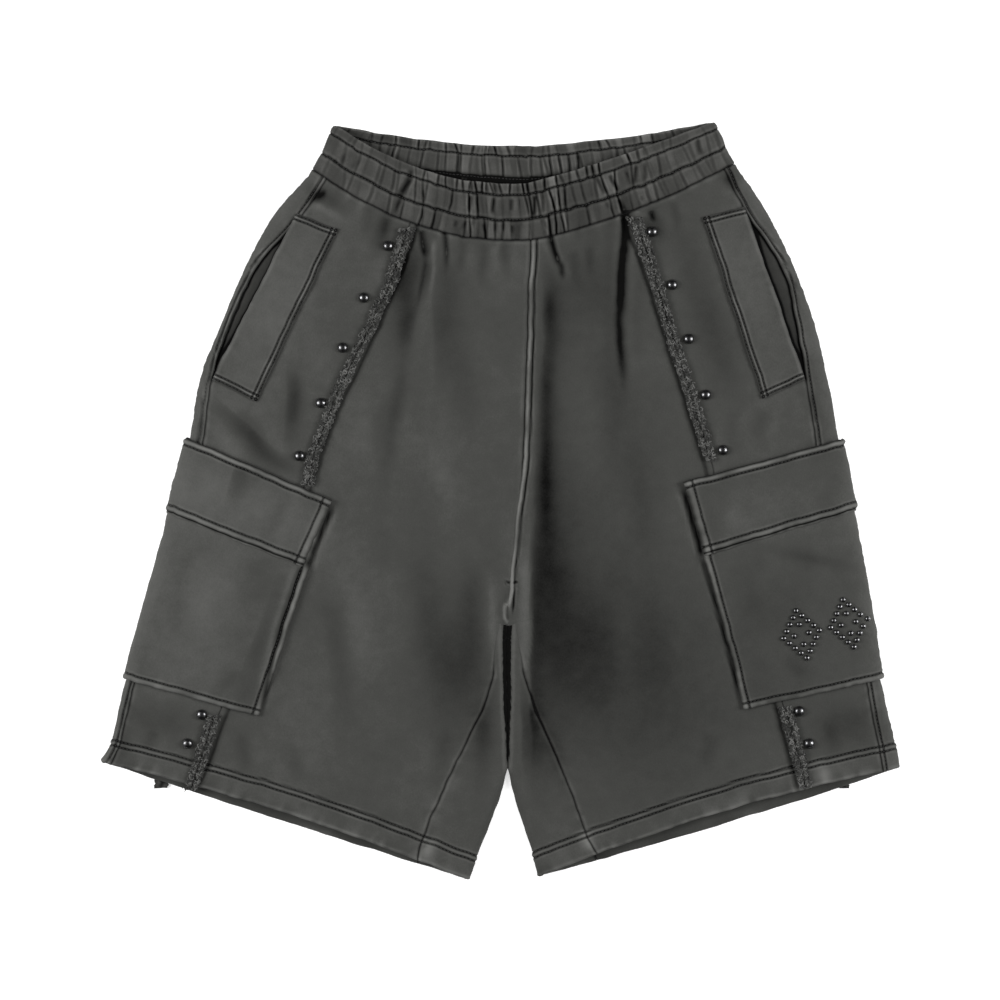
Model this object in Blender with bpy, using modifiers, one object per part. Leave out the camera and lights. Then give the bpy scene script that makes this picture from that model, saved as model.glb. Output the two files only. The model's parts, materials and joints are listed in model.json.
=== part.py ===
"""Cargo sweat shorts, laid flat on their back, in metres with +Z up.

+X is the wearer's left, which lies on the right when the front is seen from above, +Y runs up towards
the waist, and Z = 0 is the surface that the shorts lie on. Tables and sizes are in millimetres.

A leg is a table of rows from the band's top edge down to the hem. Each row runs from the outer side
fold to the centre seam or the inner leg. A point on the cloth is named by its row number and by its
distance along the row from the fold. Every panel, pocket and trim is worked out from those rows.
"""

from collections import namedtuple
import math

import bpy
import numpy as np

MM = 0.001

CLOTH = 1.8            # wall of the fleece
BAND_WALL = 3.0        # shell, elastic and backing together
SEAM_GAP = 0.3         # between pieces that are sewn edge to edge
WAIST_GAP = 0.6        # under the band, whose facets and the panels' aren't the same
LAY_GAP = 0.4          # between a piece and the panel it lies on
INNER_GAP = 2.4        # between the front and the back, where they lie on each other
BAND_GAP = 2.6         # the same inside the band
FOLD_DEPTH = 4.0       # how far the side fold's round reaches in
BAND_FOLD_DEPTH = 6.0
LINING = 1.0           # pocket facing seen in the open mouth
FACING_REACH = 9.0     # how far the facing runs on under the side front
FACING_TUCK = 3.0      # and under the back panel's edge

STUD_RADIUS = 4.4
STUD_HEIGHT = 4.2
STUD_SEAT = 0.7        # straight wall at the foot of a stud
DOME_ANGLES = (30, 60)
SCREW_MERGE = 0.00001  # metres

PATCH_LIFT = CLOTH + LAY_GAP     # what one wrapped pocket layer adds to the height
POCKET_BACK_REACH = 45.0         # how far a cargo pocket goes round to the back
RAISE_FLAT = 48.0                # the back lies on the pocket up to here, then comes down
RAISE_END = 150.0
PATCH_STEP = 15.0                # spacing of a wrapped piece's points along a row

# Steps between the points of a section.
FOLD_STEPS = 4
BACK_FLAT_STEPS = 2
BACK_RAMP_STEPS = 4
SIDE_FRONT_STEPS = 4
PATCH_ROWS = {"cargo_pocket": 7, "cargo_flap": 4}
WELT_ROWS = 10
WELT_STEPS = 2
BAND_ROWS = 3
BAND_STEPS = 7
BAND_FOLD_SHARE = 0.12           # of the row's length, left to the band's side fold
STRIP_STEP = 14.0
STUD_SIDES = 14
SMALLEST_TURN = 1.0              # the least flat cloth kept beside a fold

# Row numbers, counted down a leg's table.
BAND_TOP = 0
WAIST = 1
JUST_ABOVE_WAIST = 0.999999
CROTCH = 7
HEM = 11
RAISE_STARTS = 4.4
RAISE_FULL = 6.0
RAISE_LEAVES = 9.1
RAISE_SETTLES = 10.6
RAISE_AT_HEM = 0.55

LOCATE_TURNS = 14      # enough to find a point's row to within a hundredth of a millimetre

PANEL_ROWS = (WAIST, 1.5, 2, 2.5, 3, 3.5, 4, 4.4, 4.7, 5, 5.25, 5.5, 5.75, 6, 6.5, 6.97, 7, 7.5, 8,
              8.5, 9, 9.25, 9.5, 9.75, 10, 10.33, 10.67, HEM)
FACING_ROWS = (2.15, 2.5, 3, 3.5, 4, 4.4, 4.7, 4.9)
GUSSET_ROWS = tuple(row for row in PANEL_ROWS if row >= CROTCH)

# fold_x, fold_y: the outer side fold. inner_x, inner_y: the centre seam, or the inner leg's edge.
# sag: how far the row's middle hangs below the straight line. back_edge: where the back panel ends
# after it has come round the fold. front_edge: where the side front starts; the two part at the open
# pocket mouth. raw: the seam under the raw-edged strip. gusset: width of the inner-leg piece.
# back_rise, back_sag: how much higher the back's row ends at the centre, and its own sag.
COLUMNS = "name fold_x fold_y inner_x inner_y sag back_edge front_edge raw gusset back_rise back_sag"
Row = namedtuple("Row", COLUMNS)

RIGHT_ROWS = [
    Row("band_top", -142.0, 319.5, 21.0, 268.5, 15.5, 10.0, 10.0, 76.0, 0.0, 32.0, 4.5),
    Row("waist", -160.0, 280.5, 26.0, 220.0, 18.5, 12.0, 12.0, 87.5, 0.0, 34.0, 4.0),
    Row("hip", -191.5, 244.0, 24.0, 179.5, 13.5, 18.0, 18.0, 108.0, 0.0, 24.0, 4.0),
    Row("mouth_upper", -215.5, 201.5, 23.0, 133.5, 11.0, 9.0, 19.5, 115.0, 0.0, 15.0, 4.0),
    Row("mouth_lower", -236.5, 152.0, 21.0, 82.5, 8.5, 7.0, 15.5, 115.0, 0.0, 8.0, 4.0),
    Row("mouth_end", -255.5, 103.5, 19.0, 31.5, 6.0, 10.0, 10.0, 112.0, 0.0, 3.0, 3.0),
    Row("flap_seam", -264.0, 52.0, 14.0, -26.5, 1.5, 11.5, 11.5, 104.5, 0.0, 0.0, 1.5),
    Row("crotch", -281.0, -16.0, 4.5, -107.0, 0.0, 12.0, 12.0, 103.0, 5.0, 0.0, 0.0),
    Row("thigh", -299.0, -84.0, 4.0, -171.0, 0.0, 11.0, 11.0, 93.5, 15.5, 0.0, 0.0),
    Row("pocket_foot", -318.0, -152.0, 4.0, -237.0, 0.0, 8.5, 8.5, 85.0, 44.0, 0.0, 0.0),
    Row("hem_seam", -330.0, -203.0, -19.0, -301.0, -1.5, 8.0, 8.0, 79.0, 48.5, 0.0, 0.5),
    Row("hem_edge", -339.5, -223.5, -27.5, -324.0, -7.0, 8.0, 8.0, 79.0, 45.0, 0.0, 1.0),
]

LEFT_ROWS = [
    Row("band_top", 182.0, 322.0, 21.0, 268.5, 3.5, 9.0, 9.0, 78.0, 0.0, 32.0, 3.5),
    Row("waist", 199.5, 285.5, 26.0, 220.0, 7.5, 10.0, 10.0, 97.0, 0.0, 34.0, 3.0),
    Row("hip", 225.0, 248.0, 24.0, 179.5, 7.0, 15.5, 15.5, 107.0, 0.0, 24.0, 4.0),
    Row("mouth_upper", 248.5, 201.5, 23.0, 133.5, 6.0, 9.5, 23.0, 115.0, 0.0, 15.0, 4.0),
    Row("mouth_lower", 266.5, 152.0, 21.0, 82.5, 4.0, 14.5, 24.0, 118.0, 0.0, 8.0, 4.0),
    Row("mouth_end", 278.5, 101.0, 19.0, 31.5, 2.5, 18.5, 18.5, 115.0, 0.0, 3.0, 2.5),
    Row("flap_seam", 287.0, 52.0, 14.0, -26.5, 1.0, 19.5, 19.5, 109.0, 0.0, 0.0, 1.0),
    Row("crotch", 299.5, -16.0, 7.5, -107.0, 0.0, 18.0, 18.0, 106.0, 5.0, 0.0, 0.0),
    Row("thigh", 312.0, -84.0, 7.5, -171.0, 0.0, 16.0, 16.0, 95.0, 18.5, 0.0, 0.0),
    Row("pocket_foot", 323.0, -152.0, 8.0, -237.0, 0.0, 13.0, 13.0, 86.0, 44.0, 0.0, 0.0),
    Row("hem_seam", 335.5, -206.5, 27.0, -300.0, -1.5, 15.0, 15.0, 84.0, 48.5, 0.0, 2.5),
    Row("hem_edge", 339.5, -228.5, 32.5, -321.5, -8.5, 15.0, 15.0, 84.0, 52.0, 0.0, 3.0),
]

# A cargo pocket's body or flap: its heights at the side fold, then its two front corners.
Patch = namedtuple("Patch", "piece side fold_top fold_foot top_x top_y foot_x foot_y")
PATCHES = [
    Patch("cargo_pocket", "right", 38.0, -153.0, -148.5, -13.5, -205.5, -184.5),
    Patch("cargo_pocket", "left", 37.0, -153.0, 158.5, 1.5, 207.0, -178.5),
    Patch("cargo_flap", "right", 51.0, -13.0, -143.0, -1.0, -168.0, -58.0),
    Patch("cargo_flap", "left", 50.0, -11.0, 155.0, 14.5, 173.0, -48.5),
]

# A welt's corners, starting at the top left as it lies and going round to the bottom left.
Welt = namedtuple("Welt", "side corners")
WELTS = [
    Welt("right", ((-173.5, 243.0), (-138.0, 228.5), (-207.0, 82.5), (-245.5, 101.5))),
    Welt("left", ((172.0, 239.5), (207.5, 248.0), (259.0, 101.0), (222.5, 85.0))),
]

# A raw-edged strip: its centre line with the width there, from its upper end to its frayed foot.
Strip = namedtuple("Strip", "name side x y width")
STRIPS = [
    Strip("raw_strip_upper", "right", -78.5, 230.0, 12.0),
    Strip("raw_strip_upper", "right", -93.0, 183.0, 10.0),
    Strip("raw_strip_upper", "right", -116.0, 135.0, 9.5),
    Strip("raw_strip_upper", "right", -140.5, 83.5, 9.5),
    Strip("raw_strip_upper", "right", -159.5, 35.0, 9.5),
    Strip("raw_strip_upper", "right", -163.5, 11.5, 9.0),
    Strip("raw_strip_upper", "left", 114.0, 239.5, 12.0),
    Strip("raw_strip_upper", "left", 129.0, 194.5, 10.0),
    Strip("raw_strip_upper", "left", 146.0, 138.5, 9.5),
    Strip("raw_strip_upper", "left", 163.0, 83.5, 9.5),
    Strip("raw_strip_upper", "left", 178.5, 32.0, 9.0),
    Strip("raw_strip_lower", "right", -242.0, -183.0, 10.0),
    Strip("raw_strip_lower", "right", -253.5, -219.5, 10.5),
    Strip("raw_strip_lower", "right", -263.0, -247.0, 9.5),
    Strip("raw_strip_lower", "left", 241.5, -177.0, 10.0),
    Strip("raw_strip_lower", "left", 252.0, -213.5, 10.5),
    Strip("raw_strip_lower", "left", 259.5, -245.0, 9.5),
    Strip("raw_strip_back", "right", -277.0, -195.0, 9.0),
    Strip("raw_strip_back", "right", -289.0, -245.5, 8.0),
    Strip("raw_strip_back", "left", 281.0, -195.0, 9.0),
    Strip("raw_strip_back", "left", 292.5, -245.0, 8.0),
]

Stud = namedtuple("Stud", "side x y")
STUDS = [
    Stud("right", -95.5, 215.0),
    Stud("right", -116.0, 171.0),
    Stud("right", -134.0, 128.5),
    Stud("right", -152.5, 81.5),
    Stud("right", -170.5, 36.5),
    Stud("right", -253.5, -183.0),
    Stud("right", -265.5, -207.5),
    Stud("left", 129.0, 227.0),
    Stud("left", 146.0, 182.0),
    Stud("left", 160.0, 136.0),
    Stud("left", 174.5, 88.5),
    Stud("left", 189.0, 41.5),
    Stud("left", 253.5, -180.0),
    Stud("left", 262.0, -207.5),
]

Finish = namedtuple("Finish", "colour roughness metallic")
FLEECE = Finish((0.073, 0.073, 0.067, 1.0), 0.95, 0.0)
BAND = Finish((0.070, 0.070, 0.064, 1.0), 0.95, 0.0)
RAW_EDGE = Finish((0.085, 0.085, 0.078, 1.0), 1.0, 0.0)
POCKET_INSIDE = Finish((0.045, 0.045, 0.041, 1.0), 0.95, 0.0)
GUNMETAL = Finish((0.16, 0.16, 0.17, 1.0), 0.28, 1.0)


def smoothstep(low, high, value):
    """0 up to low, 1 from high on, and an eased ramp between them."""
    share = np.clip((np.asarray(value, float) - low) / (high - low), 0.0, 1.0)
    return share * share * (3.0 - 2.0 * share)


class Leg:
    """One leg and its half of the seat, as its table of rows describes it."""

    def __init__(self, side, rows):
        self.side = side
        self.columns = {}
        for number, column in enumerate(Row._fields[1:], start=1):
            self.columns[column] = np.array([row[number] for row in rows])

    def value(self, column, row):
        """A column at any row number, on a smooth curve through the table."""
        knots = self.columns[column]
        number = np.asarray(row, float)
        at = np.clip(number.astype(int), 0, len(knots) - 2)
        share = number - at
        before = knots[np.maximum(at - 1, 0)]
        start, end = knots[at], knots[at + 1]
        after = knots[np.minimum(at + 2, len(knots) - 1)]
        out, back = (end - before) / 2, (after - start) / 2
        bend = 3 * (end - start) - 2 * out - back
        close = 2 * (start - end) + out + back
        return start + share * (out + share * (bend + share * close))

    def ends(self, row, back):
        """The row's fold end and inner end, as two points."""
        fold = np.array([self.value("fold_x", row), self.value("fold_y", row)])
        inner = np.array([self.value("inner_x", row), self.value("inner_y", row)])
        if back:
            inner[1] = inner[1] + self.value("back_rise", row)
        return fold, inner

    def length(self, row, back=False):
        fold, inner = self.ends(row, back)
        return float(np.hypot(*(inner - fold)))

    def plan(self, row, along, back=False):
        """Where the point lies as seen from above, as (x, y)."""
        fold, inner = self.ends(row, back)
        share = along / self.length(row, back)
        sag = self.value("back_sag" if back else "sag", row)
        x, y = fold + (inner - fold) * share
        return float(x), float(y - 4 * sag * share * (1 - share))

    def raised(self, row, along):
        """How far the wrapped pocket, and its flap, lift the cloth off the surface."""
        down = smoothstep(RAISE_STARTS, RAISE_FULL, row)
        foot = (1 - RAISE_AT_HEM) * smoothstep(RAISE_LEAVES, RAISE_SETTLES, row)
        reach = 1 - smoothstep(RAISE_FLAT, RAISE_END, along)
        return float(2 * PATCH_LIFT * (down - foot) * reach)

    def front(self, row, along, out=0.0):
        """A point on the front's outer face, or out millimetres above it."""
        x, y = self.plan(row, along)
        return x, y, self.raised(row, along) + stack(row) + out

    def back(self, row, along, out=0.0):
        """The same on the back's outer face, which looks down."""
        x, y = self.plan(row, along, back=True)
        return x, y, self.raised(row, along) - out

    def side_fold(self, row, steps, out=0.0):
        """Points round the outer side fold, from the back up to the front."""
        depth = BAND_FOLD_DEPTH if row < WAIST else FOLD_DEPTH
        half = stack(row) / 2
        middle = self.raised(row, 0) + half
        points = []
        for angle in np.linspace(-math.pi / 2, math.pi / 2, steps + 1):
            along = depth - (depth + out) * math.cos(angle)
            x, y = self.plan(row, along, back=angle < 0)
            points.append((x, y, middle + (half + out) * math.sin(angle)))
        return points

    def inner_fold(self, row, steps):
        """Points round the inner leg's edge, from the front down to the back."""
        half = stack(row) / 2
        length = self.length(row)
        middle = self.raised(row, length) + half
        points = []
        for angle in np.linspace(math.pi / 2, -math.pi / 2, steps + 1):
            along = length - FOLD_DEPTH + FOLD_DEPTH * math.cos(angle)
            x, y = self.plan(row, along, back=angle < 0)
            points.append((x, y, middle + half * math.sin(angle)))
        return points

    def row_at_fold(self, y):
        """The row number whose side fold lies at this height."""
        rows = np.linspace(0, HEM, 441)
        heights = self.value("fold_y", rows)
        return float(np.interp(-y, -heights, rows))

    def locate(self, x, y, back=False):
        """The row number and the distance along it of a point seen from above."""
        row = self.row_at_fold(y)
        along = 0.0
        step = 0.01
        for _ in range(LOCATE_TURNS):
            fold, inner = self.ends(row, back)
            along = self.length(row, back) * float((x - fold[0]) / (inner[0] - fold[0]))
            here = self.plan(row, along, back)
            below = self.plan(row + step, along, back)
            row += step * (y - here[1]) / (below[1] - here[1])
        return row, along

    def side_seam(self, row):
        """Where the back panel ends on the front, and where the side front starts."""
        back_edge = float(self.value("back_edge", row))
        return back_edge, max(back_edge, float(self.value("front_edge", row)))

    def gusset_width(self, row):
        return float(self.value("gusset", row)) if row >= CROTCH else 0.0


def stack(row):
    """Height of the front's outer face above the back's."""
    if row < WAIST:
        return 2 * BAND_WALL + BAND_GAP
    return 2 * CLOTH + INNER_GAP


LEGS = {"right": Leg("right", RIGHT_ROWS), "left": Leg("left", LEFT_ROWS)}


def new_collection(name):
    collection = bpy.data.collections.new(name)
    bpy.context.scene.collection.children.link(collection)
    return collection


def dress(obj, finish):
    """Gives the object a material of its own."""
    material = bpy.data.materials.new(obj.name + "_finish")
    material.use_nodes = True
    shader = material.node_tree.nodes["Principled BSDF"]
    shader.inputs["Base Color"].default_value = finish.colour
    shader.inputs["Roughness"].default_value = finish.roughness
    shader.inputs["Metallic"].default_value = finish.metallic
    material.diffuse_color = finish.colour
    obj.data.materials.append(material)


def object_of(name, points, faces, finish, home):
    """An object from points in millimetres."""
    mesh = bpy.data.meshes.new(name)
    mesh.from_pydata([[value * MM for value in point] for point in points], [], faces)
    mesh.update()
    obj = bpy.data.objects.new(name, mesh)
    COLLECTION.objects.link(obj)
    obj.parent = home
    dress(obj, finish)
    return obj


def thicken(obj, wall):
    """Makes the outer face into a wall that grows inwards."""
    solidify = obj.modifiers.new("wall", "SOLIDIFY")
    solidify.thickness = wall * MM
    solidify.offset = -1.0
    solidify.use_even_offset = True


def sheet_of(name, sections, finish, home, wall=CLOTH, turned=False, ring=False):
    """A piece of cloth whose outer face is lofted through sections, each a list of points.

    Sections run down the garment, and a section's points run from the wearer's right to left on
    what faces up. turned is for the other way round, and a ring's last point joins its first.
    """
    across = len(sections[0])
    points = [point for section in sections for point in section]
    last = across if ring else across - 1
    faces = []
    for down in range(len(sections) - 1):
        for number in range(last):
            following = (number + 1) % across
            upper, lower = down * across, (down + 1) * across
            face = (upper + number, lower + number, lower + following, upper + following)
            faces.append(face[::-1] if turned else face)
    obj = object_of(name, points, faces, finish, home)
    thicken(obj, wall)
    return obj


def back_section(leg, row):
    """From the centre-back seam out to the side fold, and round it to the side seam."""
    inner = leg.length(row, back=True) - leg.gusset_width(row) - SEAM_GAP / 2
    edge = leg.side_seam(row)[0] - SEAM_GAP / 2
    distances = list(np.linspace(inner, RAISE_END, BACK_FLAT_STEPS + 1))[:-1]
    distances += list(np.linspace(RAISE_END, RAISE_FLAT, BACK_RAMP_STEPS + 1))
    distances.append(RAISE_FLAT / 2)
    points = [leg.back(row, along) for along in distances]
    points += leg.side_fold(row, FOLD_STEPS)
    points.append(leg.front(row, max(edge, FOLD_DEPTH + SMALLEST_TURN)))
    return points


def build_back(leg, home):
    sections = [back_section(leg, row) for row in PANEL_ROWS]
    sheet_of(f"back_panel_{leg.side}", sections, FLEECE, home, turned=leg.side == "left")


def build_side_front(leg, home):
    sections = []
    for row in PANEL_ROWS:
        start = leg.side_seam(row)[1] + SEAM_GAP / 2
        end = float(leg.value("raw", row)) - SEAM_GAP / 2
        sections.append([leg.front(row, along) for along in
                         np.linspace(start, end, SIDE_FRONT_STEPS + 1)])
    sheet_of(f"side_front_{leg.side}", sections, FLEECE, home, turned=leg.side == "left")


def build_centre_front(leg, home):
    sections = []
    for row in PANEL_ROWS:
        start = float(leg.value("raw", row)) + SEAM_GAP / 2
        end = leg.length(row) - leg.gusset_width(row) - SEAM_GAP / 2
        distances = [start, (start + RAISE_END) / 2, RAISE_END, (RAISE_END + end) / 2, end]
        sections.append([leg.front(row, along) for along in distances])
    sheet_of(f"centre_front_{leg.side}", sections, FLEECE, home, turned=leg.side == "left")


def build_gusset(leg, home):
    sections = []
    for row in GUSSET_ROWS:
        length = leg.length(row)
        edge = length - leg.gusset_width(row) + SEAM_GAP / 2
        edge = min(edge, length - FOLD_DEPTH - SMALLEST_TURN / 2)
        middle = (edge + length - FOLD_DEPTH) / 2
        points = [leg.front(row, edge), leg.front(row, middle)]
        points += leg.inner_fold(row, FOLD_STEPS)
        points += [leg.back(row, middle), leg.back(row, edge)]
        sections.append(points)
    sheet_of(f"inner_leg_{leg.side}", sections, FLEECE, home, turned=leg.side == "left")


def band_half(leg, row, shift):
    """Half of the band's loop, from the centre back round the side fold to the centre front."""
    points = []
    shares = np.linspace(1.0, BAND_FOLD_SHARE, BAND_STEPS + 1)
    for share in shares:
        x, y, z = leg.back(row, share * leg.length(row, back=True))
        points.append((x, y + shift, z))
    points += [(x, y + shift, z) for x, y, z in leg.side_fold(row, FOLD_STEPS)]
    for share in shares[::-1]:
        x, y, z = leg.front(row, share * leg.length(row))
        points.append((x, y + shift, z))
    return points


def build_waistband(home):
    """The elasticated band, one flattened tube that is open at its top and at the waist seam."""
    sections = []
    for row in np.linspace(BAND_TOP, WAIST, BAND_ROWS + 1):
        level = min(row, JUST_ABOVE_WAIST)
        shift = WAIST_GAP * row / WAIST
        right = band_half(LEGS["right"], level, shift)
        left = band_half(LEGS["left"], level, shift)
        sections.append(right + left[::-1][1:-1])
    sheet_of("waistband", sections, BAND, home, wall=BAND_WALL, ring=True)


def build_patch(patch, home):
    """A cargo pocket's body, or the flap that lies on it, from the back round to the front."""
    leg = LEGS[patch.side]
    fold_rows = leg.row_at_fold(patch.fold_top), leg.row_at_fold(patch.fold_foot)
    corners = leg.locate(patch.top_x, patch.top_y), leg.locate(patch.foot_x, patch.foot_y)
    out = PATCH_LIFT if patch.piece == "cargo_pocket" else 2 * PATCH_LIFT
    steps = round(corners[0][1] / PATCH_STEP)
    sections = []
    for share in np.linspace(0, 1, PATCH_ROWS[patch.piece] + 1):
        row = fold_rows[0] + (fold_rows[1] - fold_rows[0]) * share
        corner_row = corners[0][0] + (corners[1][0] - corners[0][0]) * share
        front = corners[0][1] + (corners[1][1] - corners[0][1]) * share
        slant = (corner_row - row) / front
        points = [leg.back(row - slant * along, along, out)
                  for along in (POCKET_BACK_REACH, 2 * PATCH_STEP, PATCH_STEP)]
        points += leg.side_fold(row, FOLD_STEPS, out)
        points += [leg.front(row + slant * along, along, out)
                   for along in np.linspace(PATCH_STEP, front, steps)]
        sections.append(points)
    sheet_of(f"{patch.piece}_{patch.side}", sections, FLEECE, home, turned=patch.side == "left")


def lay_on_front(leg, x, y, out):
    row, along = leg.locate(x, y)
    return leg.front(row, along, out)


def build_welt(welt, home):
    leg = LEGS[welt.side]
    top_left, top_right, foot_right, foot_left = [np.array(corner) for corner in welt.corners]
    sections = []
    for down in np.linspace(0, 1, WELT_ROWS + 1):
        start = top_left + (foot_left - top_left) * down
        end = top_right + (foot_right - top_right) * down
        section = []
        for across in np.linspace(0, 1, WELT_STEPS + 1):
            x, y = start + (end - start) * across
            section.append(lay_on_front(leg, x, y, PATCH_LIFT))
        sections.append(section)
    sheet_of(f"welt_{welt.side}", sections, FLEECE, home)


def build_facing(leg, home):
    """What shows in the open pocket mouth: the facing, just under the side front."""
    sections = []
    for row in FACING_ROWS:
        back_edge, front_edge = leg.side_seam(row)
        start = max(back_edge - FACING_TUCK, FOLD_DEPTH + SMALLEST_TURN)
        end = front_edge + FACING_REACH
        sections.append([leg.front(row, along, -PATCH_LIFT) for along in (start, end)])
    sheet_of(f"pocket_facing_{leg.side}", sections, POCKET_INSIDE, home, wall=LINING,
             turned=leg.side == "left")


def build_strips(home):
    """The raw-edged strips, each on a smooth line through its rows of the table."""
    for name, side in dict.fromkeys((strip.name, strip.side) for strip in STRIPS):
        rows = [strip for strip in STRIPS if (strip.name, strip.side) == (name, side)]
        leg = LEGS[side]
        behind = name == "raw_strip_back"
        steps = round((rows[0].y - rows[-1].y) / STRIP_STEP)
        fractions = np.linspace(0, len(rows) - 1, 1 + steps)
        places = np.arange(len(rows))
        sections = []
        for fraction in fractions:
            x, y, width = (np.interp(fraction, places, [getattr(row, field) for row in rows])
                           for field in ("x", "y", "width"))
            section = []
            for across in (-0.5, 0.5):
                if behind:
                    at, along = leg.locate(x + width * across, y, back=True)
                    section.append(leg.back(at, along, PATCH_LIFT))
                else:
                    section.append(lay_on_front(leg, x + width * across, y, PATCH_LIFT))
            sections.append(section)
        sheet_of(f"{name}_{side}", sections, RAW_EDGE, home, turned=behind)


def dome_mesh():
    """A domed stud turned about Z, standing on its flat underside."""
    outline = [(0.0, 0.0), (STUD_RADIUS, 0.0), (STUD_RADIUS, STUD_SEAT)]
    for angle in np.radians(DOME_ANGLES):
        height = STUD_SEAT + (STUD_HEIGHT - STUD_SEAT) * math.sin(angle)
        outline.append((STUD_RADIUS * math.cos(angle), height))
    outline.append((0.0, STUD_HEIGHT))
    mesh = bpy.data.meshes.new("dome_profile")
    points = [(radius * MM, 0.0, height * MM) for radius, height in reversed(outline)]
    mesh.from_pydata(points, [(n, n + 1) for n in range(len(points) - 1)], [])
    return mesh


def build_studs(home):
    counts = {"right": 0, "left": 0}
    for stud in STUDS:
        counts[stud.side] += 1
        name = f"stud_{stud.side}_{counts[stud.side]}"
        obj = bpy.data.objects.new(name, dome_mesh())
        COLLECTION.objects.link(obj)
        obj.parent = home
        x, y, z = lay_on_front(LEGS[stud.side], stud.x, stud.y, LAY_GAP)
        obj.location = (x * MM, y * MM, z * MM)
        screw = obj.modifiers.new("turned", "SCREW")
        screw.steps = screw.render_steps = STUD_SIDES
        screw.use_merge_vertices = True
        screw.merge_threshold = SCREW_MERGE
        dress(obj, GUNMETAL)


def centre_on_origin(home):
    """Moves the shorts so that the middle of their length and width is at the origin."""
    bpy.context.view_layer.update()
    graph = bpy.context.evaluated_depsgraph_get()
    corners = []
    for obj in COLLECTION.objects:
        if obj.type == "MESH":
            evaluated = obj.evaluated_get(graph)
            corners += [evaluated.matrix_world @ vertex.co for vertex in evaluated.data.vertices]
    lows = [min(corner[axis] for corner in corners) for axis in range(3)]
    highs = [max(corner[axis] for corner in corners) for axis in range(3)]
    home.location = (-(lows[0] + highs[0]) / 2, -(lows[1] + highs[1]) / 2, -lows[2])
    bpy.context.view_layer.update()


def build():
    home = bpy.data.objects.new("sweat_shorts_origin", None)
    COLLECTION.objects.link(home)
    build_waistband(home)
    for leg in LEGS.values():
        build_back(leg, home)
        build_side_front(leg, home)
        build_centre_front(leg, home)
        build_gusset(leg, home)
        build_facing(leg, home)
    for patch in PATCHES:
        build_patch(patch, home)
    for welt in WELTS:
        build_welt(welt, home)
    build_strips(home)
    build_studs(home)
    centre_on_origin(home)


for leftover in list(bpy.data.objects):
    bpy.data.objects.remove(leftover, do_unlink=True)
COLLECTION = new_collection("sweat_shorts")
build()
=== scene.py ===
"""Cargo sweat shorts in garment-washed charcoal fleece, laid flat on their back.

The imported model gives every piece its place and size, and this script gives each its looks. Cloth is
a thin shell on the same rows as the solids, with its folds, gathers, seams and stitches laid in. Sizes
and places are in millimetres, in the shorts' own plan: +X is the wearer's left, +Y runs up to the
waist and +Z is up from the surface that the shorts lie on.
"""

import json
import logging
import math
from dataclasses import astuple, dataclass, field, fields
from enum import Enum
from typing import Iterable, Optional, Sequence

import bpy
import numpy as np
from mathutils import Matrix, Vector

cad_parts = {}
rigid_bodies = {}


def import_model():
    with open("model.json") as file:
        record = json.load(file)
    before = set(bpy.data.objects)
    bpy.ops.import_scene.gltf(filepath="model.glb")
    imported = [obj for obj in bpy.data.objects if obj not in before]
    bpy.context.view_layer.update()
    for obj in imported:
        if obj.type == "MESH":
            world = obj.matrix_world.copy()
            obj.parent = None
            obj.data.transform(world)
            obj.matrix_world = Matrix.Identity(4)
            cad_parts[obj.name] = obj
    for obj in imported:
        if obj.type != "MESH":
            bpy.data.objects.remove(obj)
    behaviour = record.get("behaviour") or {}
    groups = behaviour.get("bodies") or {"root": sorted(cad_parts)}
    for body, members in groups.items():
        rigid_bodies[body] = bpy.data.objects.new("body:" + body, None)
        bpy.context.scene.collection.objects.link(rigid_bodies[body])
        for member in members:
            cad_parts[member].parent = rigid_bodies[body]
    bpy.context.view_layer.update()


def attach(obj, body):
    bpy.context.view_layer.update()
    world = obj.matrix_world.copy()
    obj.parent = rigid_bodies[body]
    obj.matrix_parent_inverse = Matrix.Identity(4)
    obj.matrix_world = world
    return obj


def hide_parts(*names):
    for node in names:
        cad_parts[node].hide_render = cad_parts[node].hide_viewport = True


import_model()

Array = np.ndarray
Material = bpy.types.Material
Socket = bpy.types.NodeSocket
log = logging.getLogger("sweat_shorts")

MM = 0.001
ORIGIN = (0.0, 1.0, 0.0)  # the plan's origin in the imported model's frame
BODY = "root"

CLOTH = 1.8              # wall of the fleece
BAND_WALL = 3.0          # shell, elastic and backing together
SEAM_GAP = -0.3          # pieces that are sewn edge to edge run into each other
LAY_GAP = 0.4            # between a piece and the panel it lies on
INNER_GAP = 2.4          # between the front and the back
BAND_GAP = 2.6
SIDE_FOLD = 8.0          # how far the side fold's round reaches in
BAND_FOLD = 6.0
LEG_FOLD = 5.0           # the same at the inner leg
PATCH_LIFT = CLOTH + LAY_GAP
PATCH_BACK_REACH = 45.0  # how far a cargo pocket goes round to the back
RAISE_FLAT = 48.0        # the back lies on the pocket up to here, then comes down
RAISE_END = 150.0
HEM_HEIGHT = 21.5        # of the turned-up hem
FLOOR_CLEAR = 0.02

# Row numbers, counted down a leg's table.
BAND_TOP, WAIST, CROTCH, HEM = 0, 1, 7, 11
RAISE_ROWS = (4.4, 6.0, 9.1, 10.6)
RAISE_AT_HEM = 0.55
STITCH_LEVELS = (0.27, 0.66)     # the band's two stitch rows, from its top edge down


class Side(Enum):
    """The wearer's sides. The right leg lies on the left of the picture."""

    RIGHT = "right"
    LEFT = "left"


class Slot(Enum):
    """The record's material slots."""

    FLEECE = "fleece"
    WAISTBAND = "waistband"
    RAW_EDGE = "raw_edge"
    POCKET_INSIDE = "pocket_inside"
    GUNMETAL = "gunmetal"


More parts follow.
